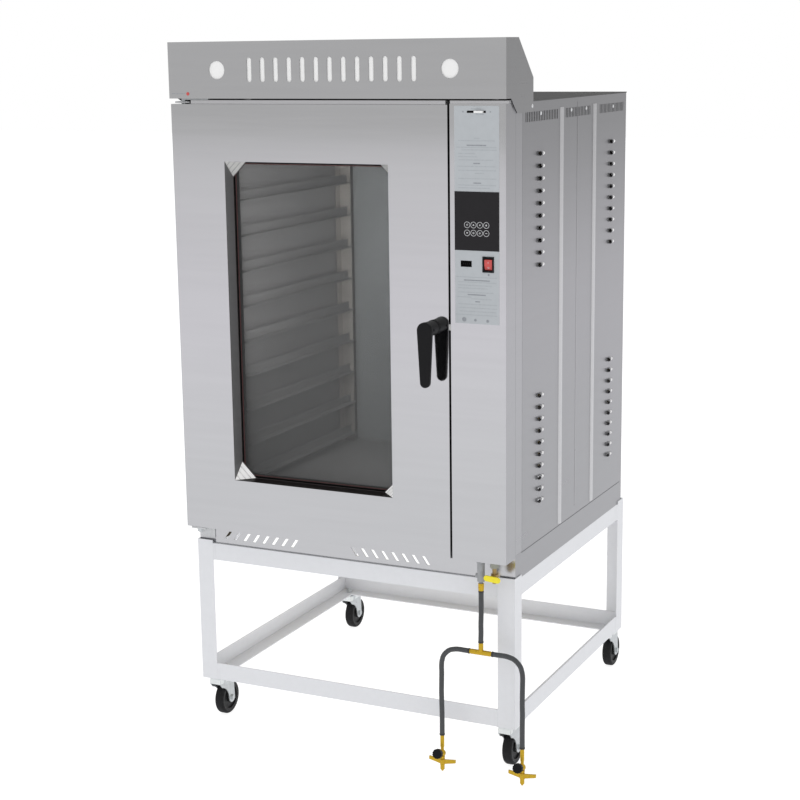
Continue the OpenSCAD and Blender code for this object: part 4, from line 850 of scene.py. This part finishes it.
class OVEN_OT_controls(bpy.types.Operator):
    """Adds the prints, key rings, switch marks, port and slider cap of the control column"""

    bl_idname = "oven.controls"
    bl_label = "Controls"

    # Printed lines of the overlay: height above the floor, left and right end in millimetres
    HEADINGS = [(1694.5, 874, 927), (1649.5, 892, 910), (1600.5, 892, 913), (1354, 865, 936),
                (1317, 875, 925), (1299.5, 896, 909)]
    LINES = [(1784.5, 886, 913), (1771, 899, 921), (1712, 894, 910), (1706, 850, 951), (1689.5, 846, 955),
             (1683, 860, 955), (1674, 850, 896), (1666, 850, 902), (1658, 852, 946), (1642, 848, 951),
             (1632, 850, 953), (1625, 896, 921), (1611.5, 850, 955), (1595, 850, 953), (1588, 850, 936),
             (1362, 843, 956), (1349, 848, 954), (1341, 848, 941), (1333.5, 848, 930), (1323, 848, 946),
             (1310.5, 845, 885), (1306.5, 885, 941), (1292.5, 849, 956), (1283, 850, 956), (1274, 852, 954),
             (1265, 840, 956)]
    # Small round signs under the switch, at the overlay's foot and at its head: (x, z) and radius
    SIGNS = [((933, 1369.5), 2.8), ((865, 1252.5), 6), ((896, 1252), 3.6), ((930, 1251), 4),
             ((864.5, 1777.5), 2), ((938.5, 1777.5), 2)]

    def execute(self, context):
        face = node_mm("control_overlay")[0][1]
        self.lines("overlay_headings", self.HEADINGS, face, 3.0, "dark_print")
        self.lines("overlay_lines", self.LINES, face, sizes().print_height, "print")
        discs = [turned("sign", (x, face + 0.05, z), (0, -1, 0), [(0, radius), (0.17, radius)], 20)
                 for (x, z), radius in self.SIGNS]
        finish(merged("overlay_signs", discs), "root", "dark_print")
        self.lines("overlay_port_mark", [(1384, 868.5, 877.5)], face, 1.4, "print")
        self.keys()
        self.switch()
        self.port()
        self.slider()
        return {"FINISHED"}

    def lines(self, name, rows, face, height, material):
        bars = [slab("line", (x0, face - 0.12, z - height / 2), (x1, face + 0.05, z + height / 2))
                for z, x0, x1 in rows]
        finish(merged(name, bars), "root", material)

    def keys(self):
        low = node_mm("key_panel")[0]
        face = low[1] - 0.02
        radius, width = 8.1, sizes().ring_width
        pitch_x, pitch_z = 17.5, 20.4
        x0, z0 = low[0] + 34.6, low[2] + 44.6
        middles = [(x0 + i * pitch_x, z0 + j * pitch_z) for j in range(2) for i in range(4)]
        rings = [hoop("ring", (x, face, z), (0, -1, 0), radius - width / 2, width, 0.25) for x, z in middles]
        finish(smooth(merged("key_rings", rings), 60), "root", "pale_print")
        signs = [self.sign(k, x, z, face - 0.1) for k, (x, z) in enumerate(middles)]
        finish(merged("key_signs", signs), "root", "pale_print")

    def sign(self, kind, x, z, face):
        """A plain sign on a key: arrows, plus and minus, bars or a ring."""
        if kind in (0, 5):
            up = 1 if kind == 5 else -1
            arrow = [(x - 2.8, z - 1.6 * up), (x + 2.8, z - 1.6 * up), (x, z + 2.6 * up)]
            return plate("sign", arrow, face, 0.12)
        if kind == 1:
            return hoop("sign", (x, face, z), (0, -1, 0), 1.9, 1.2, 0.2)
        if kind in (6, 7):
            return turned("sign", (x, face + 0.1, z), (0, -1, 0), [(0, 2.2), (0.15, 2.2)], 4 + 8 * (kind - 6))
        bars = [slab("sign", (x - 2.8, face, z - 0.7), (x + 2.8, face + 0.12, z + 0.7))]
        if kind in (2, 4):
            bars.append(slab("sign", (x - 0.7, face, z - 2.8), (x + 0.7, face + 0.12, z + 2.8)))
        return merged("sign", bars)

    def switch(self):
        """The on and off marks of the rocker: a bar on its upper face and a ring on its lower one."""
        low, high = node_mm("power_rocker")
        x, top, z = (low[0] + high[0]) / 2, low[1], (low[2] + high[2]) / 2
        bar = slab("rocker_on_mark", (x - 0.6, top - 0.12, z + 3.5), (x + 0.6, top + 0.3, z + 8))
        finish(bar, "rocker", "pale_print")
        lean = math.radians(16.4)
        out = (0, -math.cos(lean), -math.sin(lean))
        ring = hoop("rocker_off_mark", (x, top + 1.95, z - 7.6), out, 2.0, 0.9, 0.5)
        finish(smooth(ring, 60), "rocker", "pale_print")

    def port(self):
        """A dark socket in the column, with a thin frame and four contacts."""
        face = node_mm("control_overlay")[0][1] - 0.3
        x0, x1, z0, z1 = 856, 886.5, 1387.7, 1403.7
        floor = 1.7
        back = slab("back", (x0 - 1, floor - 0.1, z0 - 1), (x1 + 1, 6, z1 + 1))
        socket = bevel(merged("port_socket", [back] + border((x0, z0), (x1, z1), face, floor, 1)), 0.2)
        finish(socket, "root", "gap")
        pitch, width = 5.6, 1.6
        lefts = [x0 + 6 + pitch * k for k in range(4)]
        pins = [slab("pin", (x, floor - 1, z0 + 6), (x + width, floor, z0 + 10)) for x in lefts]
        finish(merged("port_contacts", pins), "root", "black")

    def slider(self):
        """The pale cap on the damper's tab."""
        low, high = node_mm("damper_slider")
        x, z = low[0] + 17.7, (low[2] + high[2]) / 2
        cap = bevel(slab("damper_cap", (x, low[1] - 0.4, z - 2.6), (x + 23.6, -0.8, z + 2.6)), 0.8, 3)
        finish(smooth(cap, 35), "damper", "lamp_plate")


class OVEN_OT_window_trim(bpy.types.Operator):
    """Adds the ridges of the corner clips and the bead round the glass"""

    bl_idname = "oven.window_trim"
    bl_label = "Window trim"

    def execute(self, context):
        low, high = node_mm("glass_corner_clips")
        tip = Vector((low[0] + 0.2, low[1], low[2] + 0.2))
        leg, depth = 44, high[1] - low[1]
        a = tip + Vector((leg, depth, 0))
        b = tip + Vector((0, depth, leg))
        normal = (a - tip).cross(b - tip).normalized()
        steps = int(leg / sizes().ridge_pitch)
        bars = [(k / steps, 1.5, 0.9) for k in range(1, steps)] + [(0.985, 2.0, 1.4)]
        ridges = [strip("ridge", tip + (a - tip) * t, tip + (b - tip) * t, normal, width, height)
                  for t, width, height in bars]
        corner = bevel(merged("clip_ridges_1", ridges), 0.4)
        x, z = (low[0] + high[0]) / 2, (low[2] + high[2]) / 2
        self.all_corners(corner, x, z, "clip_steel", "clip_edge")
        line = strip("clip_line_1", a + normal * 0.5, b + normal * 0.5, normal, 2.4, 1.0)
        self.all_corners(line, x, z, "gasket_rubber", "gasket")
        low, high = node_mm("door_glass_outer")
        y = low[1]
        inset = 17
        corners = (low[0] + inset, low[2] + inset), (high[0] - inset, high[2] - inset)
        self.line("glass_bead", corners, y, 2.2, "bead")
        self.line("glass_edge_line", ((164.5, 758.5), (651.5, 1640.5)), y - 1, 4.5, "gap")
        return {"FINISHED"}

    def all_corners(self, first, x, z, slot, material):
        stem = first.name[:-1]
        made = [first, mirrored(first, x=x), mirrored(first, z=z), mirrored(first, x=x, z=z)]
        for k, obj in enumerate(made):
            obj.name = stem + str(k + 1)
            finish(obj, "door", material)

    def line(self, name, corners, y, width, material):
        """A thin frame on the glass."""
        bars = border(*corners, y - 0.9, y, width)
        finish(bevel(merged(name, bars), 0.3), "door", material)


class OVEN_OT_casing_details(bpy.types.Operator):
    """Adds the casing's screws, seams, trims and filters, the stand's welds and the casters' hoods"""

    bl_idname = "oven.casing_details"
    bl_label = "Casing details"

    def execute(self, context):
        self.screws()
        self.filters()
        self.dimples()
        self.gap_strips()
        self.welds()
        self.hoods()
        self.canopy_trims()
        return {"FINISHED"}

    def screws(self):
        """The screws of the sides and the back, and the seam in the middle of each side."""
        low, high = node_mm("side_panel_right")
        right = node_mm("control_column")[1][0]
        side_spots = [(240, 1765), (471, 1765), (591, 1765), (823, 1762)]
        canopy_spot = (173, 1786)
        for side, x, way in (("right", right, 1), ("left", 0, -1)):
            spots = [(x, y, z) for y, z in side_spots] + [(x + 2 * way, *canopy_spot)]
            self.screw_row("side_screws_" + side, spots, (way, 0, 0))
            start, end = (x - 0.2, 521, low[2] + 25), (x + 0.5 * way, 525, high[2] - 12)
            finish(slab("side_seam_" + side, start, end), "root", "seam")
        low, high = node_mm("back_panel")
        count, inset, margin = 6, 14, 30
        levels = [low[2] + margin + k * (high[2] - low[2] - 2 * margin) / (count - 1) for k in range(count)]
        spots = [(x, high[1], z) for x in (low[0] + inset, high[0] - inset) for z in levels]
        self.screw_row("back_screws", spots, (0, 1, 0))

    def screw_row(self, name, spots, out):
        radius = sizes().screw_radius
        head = [(0, radius), (0.8, radius), (1.8, radius * 0.8), (2.3, radius * 0.4)]
        heads = [turned("screw", spot, out, head, 20) for spot in spots]
        finish(smooth(merged(name, heads), 25), "root", "screw")

    def canopy_trims(self):
        """The shim, the pilot light with its line and the end seal at the canopy, and the door's top trim."""
        shim = slab("hinge_shim", (34, 0.5, 1805.5), (118, 30, 1809.3))
        finish(smooth(bevel(shim, 0.4), 30), "root", "grey")
        dot = turned("pilot_dot", (57.3, -2.6, 1821.5), (0, -1, 0), [(0, 4.6), (1.2, 4.6), (2.0, 3.4)], 28)
        finish(smooth(dot, 30), "root", "red")
        dash = slab("pilot_line", (6, -3.3, 1821.2), (47, -2.6, 1822.6))
        finish(dash, "root", "dark_print")
        seal = strip("canopy_end_seal", (982.2, 27, 1806), (982.2, 66.5, 1772.5), (1, 0, 0), 2.4, 1.0)
        finish(bevel(seal, 0.3), "root", "gap")
        # The door's top trim takes the ribs' lighter, painted-highlight tone
        trim = strip("door_top_trim", (62, 21, 1799.8), (815, 21, 1799.8), (0, 0, 1), 38, 10.6)
        finish(smooth(bevel(trim, 1.0), 30), "door", "rib")

    def welds(self):
        """Weld fillets in the steps between the stand's legs and its rails."""
        low, high = node_mm("stand_legs")
        bar, step, reach, thick = 50, 3, 8, 2.9
        rails = ((130.4, 179.7), (495.4, 544.7))
        length = math.hypot(step, reach)
        beads = []
        for x, dx in ((low[0], 1), (high[0], -1)):
            for y, dy in ((low[1], 1), (high[1], -1)):
                front = (x + dx * (bar + reach / 2), y + dy * step / 2), (dx * step, -dy * reach)
                side = (x + dx * step / 2, y + dy * (bar + reach / 2)), (-dx * reach, dy * step)
                for middle, out in (front, side):
                    cx, cy = (m - o / length * thick / 2 for m, o in zip(middle, out))
                    beads += [strip("bead", (cx, cy, z0), (cx, cy, z1), (*out, 0), length, thick)
                              for z0, z1 in rails]
        finish(bevel(merged("stand_welds", beads), 0.2), "root", "stand")

    def hoods(self):
        """The pressed hood over each caster's fork."""
        half, depth, height = 18.7, 73, 18.6
        for corner in CORNERS:
            low, high = node_mm("caster_fork_" + corner)
            x, y, top = (low[0] + high[0]) / 2, low[1] - 0.6, high[2]
            start, end = (x - half, y, top - height), (x + half, y + depth, top - 0.2)
            hood = smooth(bevel(slab("caster_hood_" + corner, start, end), 3.0, 3), 35)
            finish(hood, "caster_" + corner, "hood")

    def gap_strips(self):
        """Painted shade: dark strips in the slit beside the door, with a bright latch guide between them, and
        dark lines between the side panels and the skirt; and the column's top trim, in the ribs'
        painted-highlight tone."""
        guide = (1220.5, 1236)
        foot, head = node_mm("door_shell")[0][2] + 1, node_mm("door_shell")[1][2] - 2
        # Painted shade: dark strips in the slit between the door and the column
        for name, z0, z1 in (("low", foot, guide[0] - 1), ("high", guide[1] + 1, head)):
            piece = slab("slit_strip_" + name, (822.3, 3, z0), (827.2, 6, z1))
            finish(bevel(piece, 0.3), "root", "gap")
        piece = slab("latch_guide", (820.8, 2.5, guide[0]), (826, 7, guide[1]))
        finish(smooth(bevel(piece, 0.6), 35), "door", "clip")
        # Painted shade: dark lines along the seam where the side panels meet the skirt
        lines = [slab("line", (x - 0.7, 110, 612.6), (x + 0.7, 930, 614.0)) for x in (0, 980)]
        finish(merged("skirt_lines", lines), "root", "frame")
        column_top = node_mm("control_column")[1][2]
        # The column's top trim takes the ribs' lighter, painted-highlight tone
        trim = slab("column_top_trim", (828, 1, column_top - 0.5), (979, 40, 1805.1))
        finish(smooth(bevel(trim, 0.8), 30), "root", "rib")

    def dimples(self):
        """Painted highlights: near-white domes on the scoop louvres' ends, ten in each row, for the glint of
        light on them.
        """
        shape = [(0, 0.8), (2, 3.6), (7, 5.0), (12, 3.6), (14, 0.8)]
        row_pitch, columns_apart, rows_apart = 32.4, 574, 643.4
        for name, x in (("right", 983.2), ("left", -3.2)):
            first = smooth(turned("dimple", (x, 243, 727), (0, 1, 0), shape, 14), 60)
            shifts = [(0, y, z + row_pitch * k)
                      for y in (0, columns_apart) for z in (0, rows_apart) for k in range(10)]
            row = merged("louvre_ends_" + name, [first] + copies(first, shifts[1:]))
            finish(row, "root", "dimple")

    def filters(self):
        """The pale filters behind the canopy's slots and its two round openings."""
        low, high = node_mm("canopy")
        middle, y, z = (low[0] + high[0]) / 2, low[1] + 2.4, 1884
        panel = slab("panel", (middle - 265, y, z - 44), (middle + 265, y + 1.5, z + 44))
        ends = [turned("end", (x, y, z), (0, 1, 0), [(0, 30), (1.5, 30)], 40)
                for x in (low[0] + 152, high[0] - 152)]
        finish(merged("canopy_filters", [panel] + ends), "root", "lamp_plate")


# Panel

OPERATORS = (OVEN_OT_stage, OVEN_OT_hoses, OVEN_OT_finishes, OVEN_OT_handle, OVEN_OT_controls,
             OVEN_OT_window_trim, OVEN_OT_casing_details)


class OVEN_PT_panel(bpy.types.Panel):
    """The oven's pieces and sizes"""

    bl_idname = "OVEN_PT_panel"
    bl_label = "Gas convection oven"
    bl_space_type = "VIEW_3D"
    bl_region_type = "UI"
    bl_category = "Oven"

    def draw(self, context):
        for operator in OPERATORS:
            self.layout.operator(operator.bl_idname)
        for group in (context.scene.oven_sizes, context.scene.oven_colours):
            for field in group.bl_rna.properties:
                if field.identifier not in ("rna_type", "name"):
                    self.layout.prop(group, field.identifier)


CLASSES = (OvenSizes, OvenColours, OVEN_PT_panel) + OPERATORS


def register():
    for cls in CLASSES:
        bpy.utils.register_class(cls)
    bpy.types.Scene.oven_sizes = PointerProperty(type=OvenSizes)
    bpy.types.Scene.oven_colours = PointerProperty(type=OvenColours)


def unregister():
    del bpy.types.Scene.oven_colours
    del bpy.types.Scene.oven_sizes
    for cls in reversed(CLASSES):
        bpy.utils.unregister_class(cls)


def main():
    register()
    make_materials()
    for operator in OPERATORS:
        group, call = operator.bl_idname.split(".")
        getattr(getattr(bpy.ops, group), call)()
    deselect()


if __name__ == "__main__":
    main()
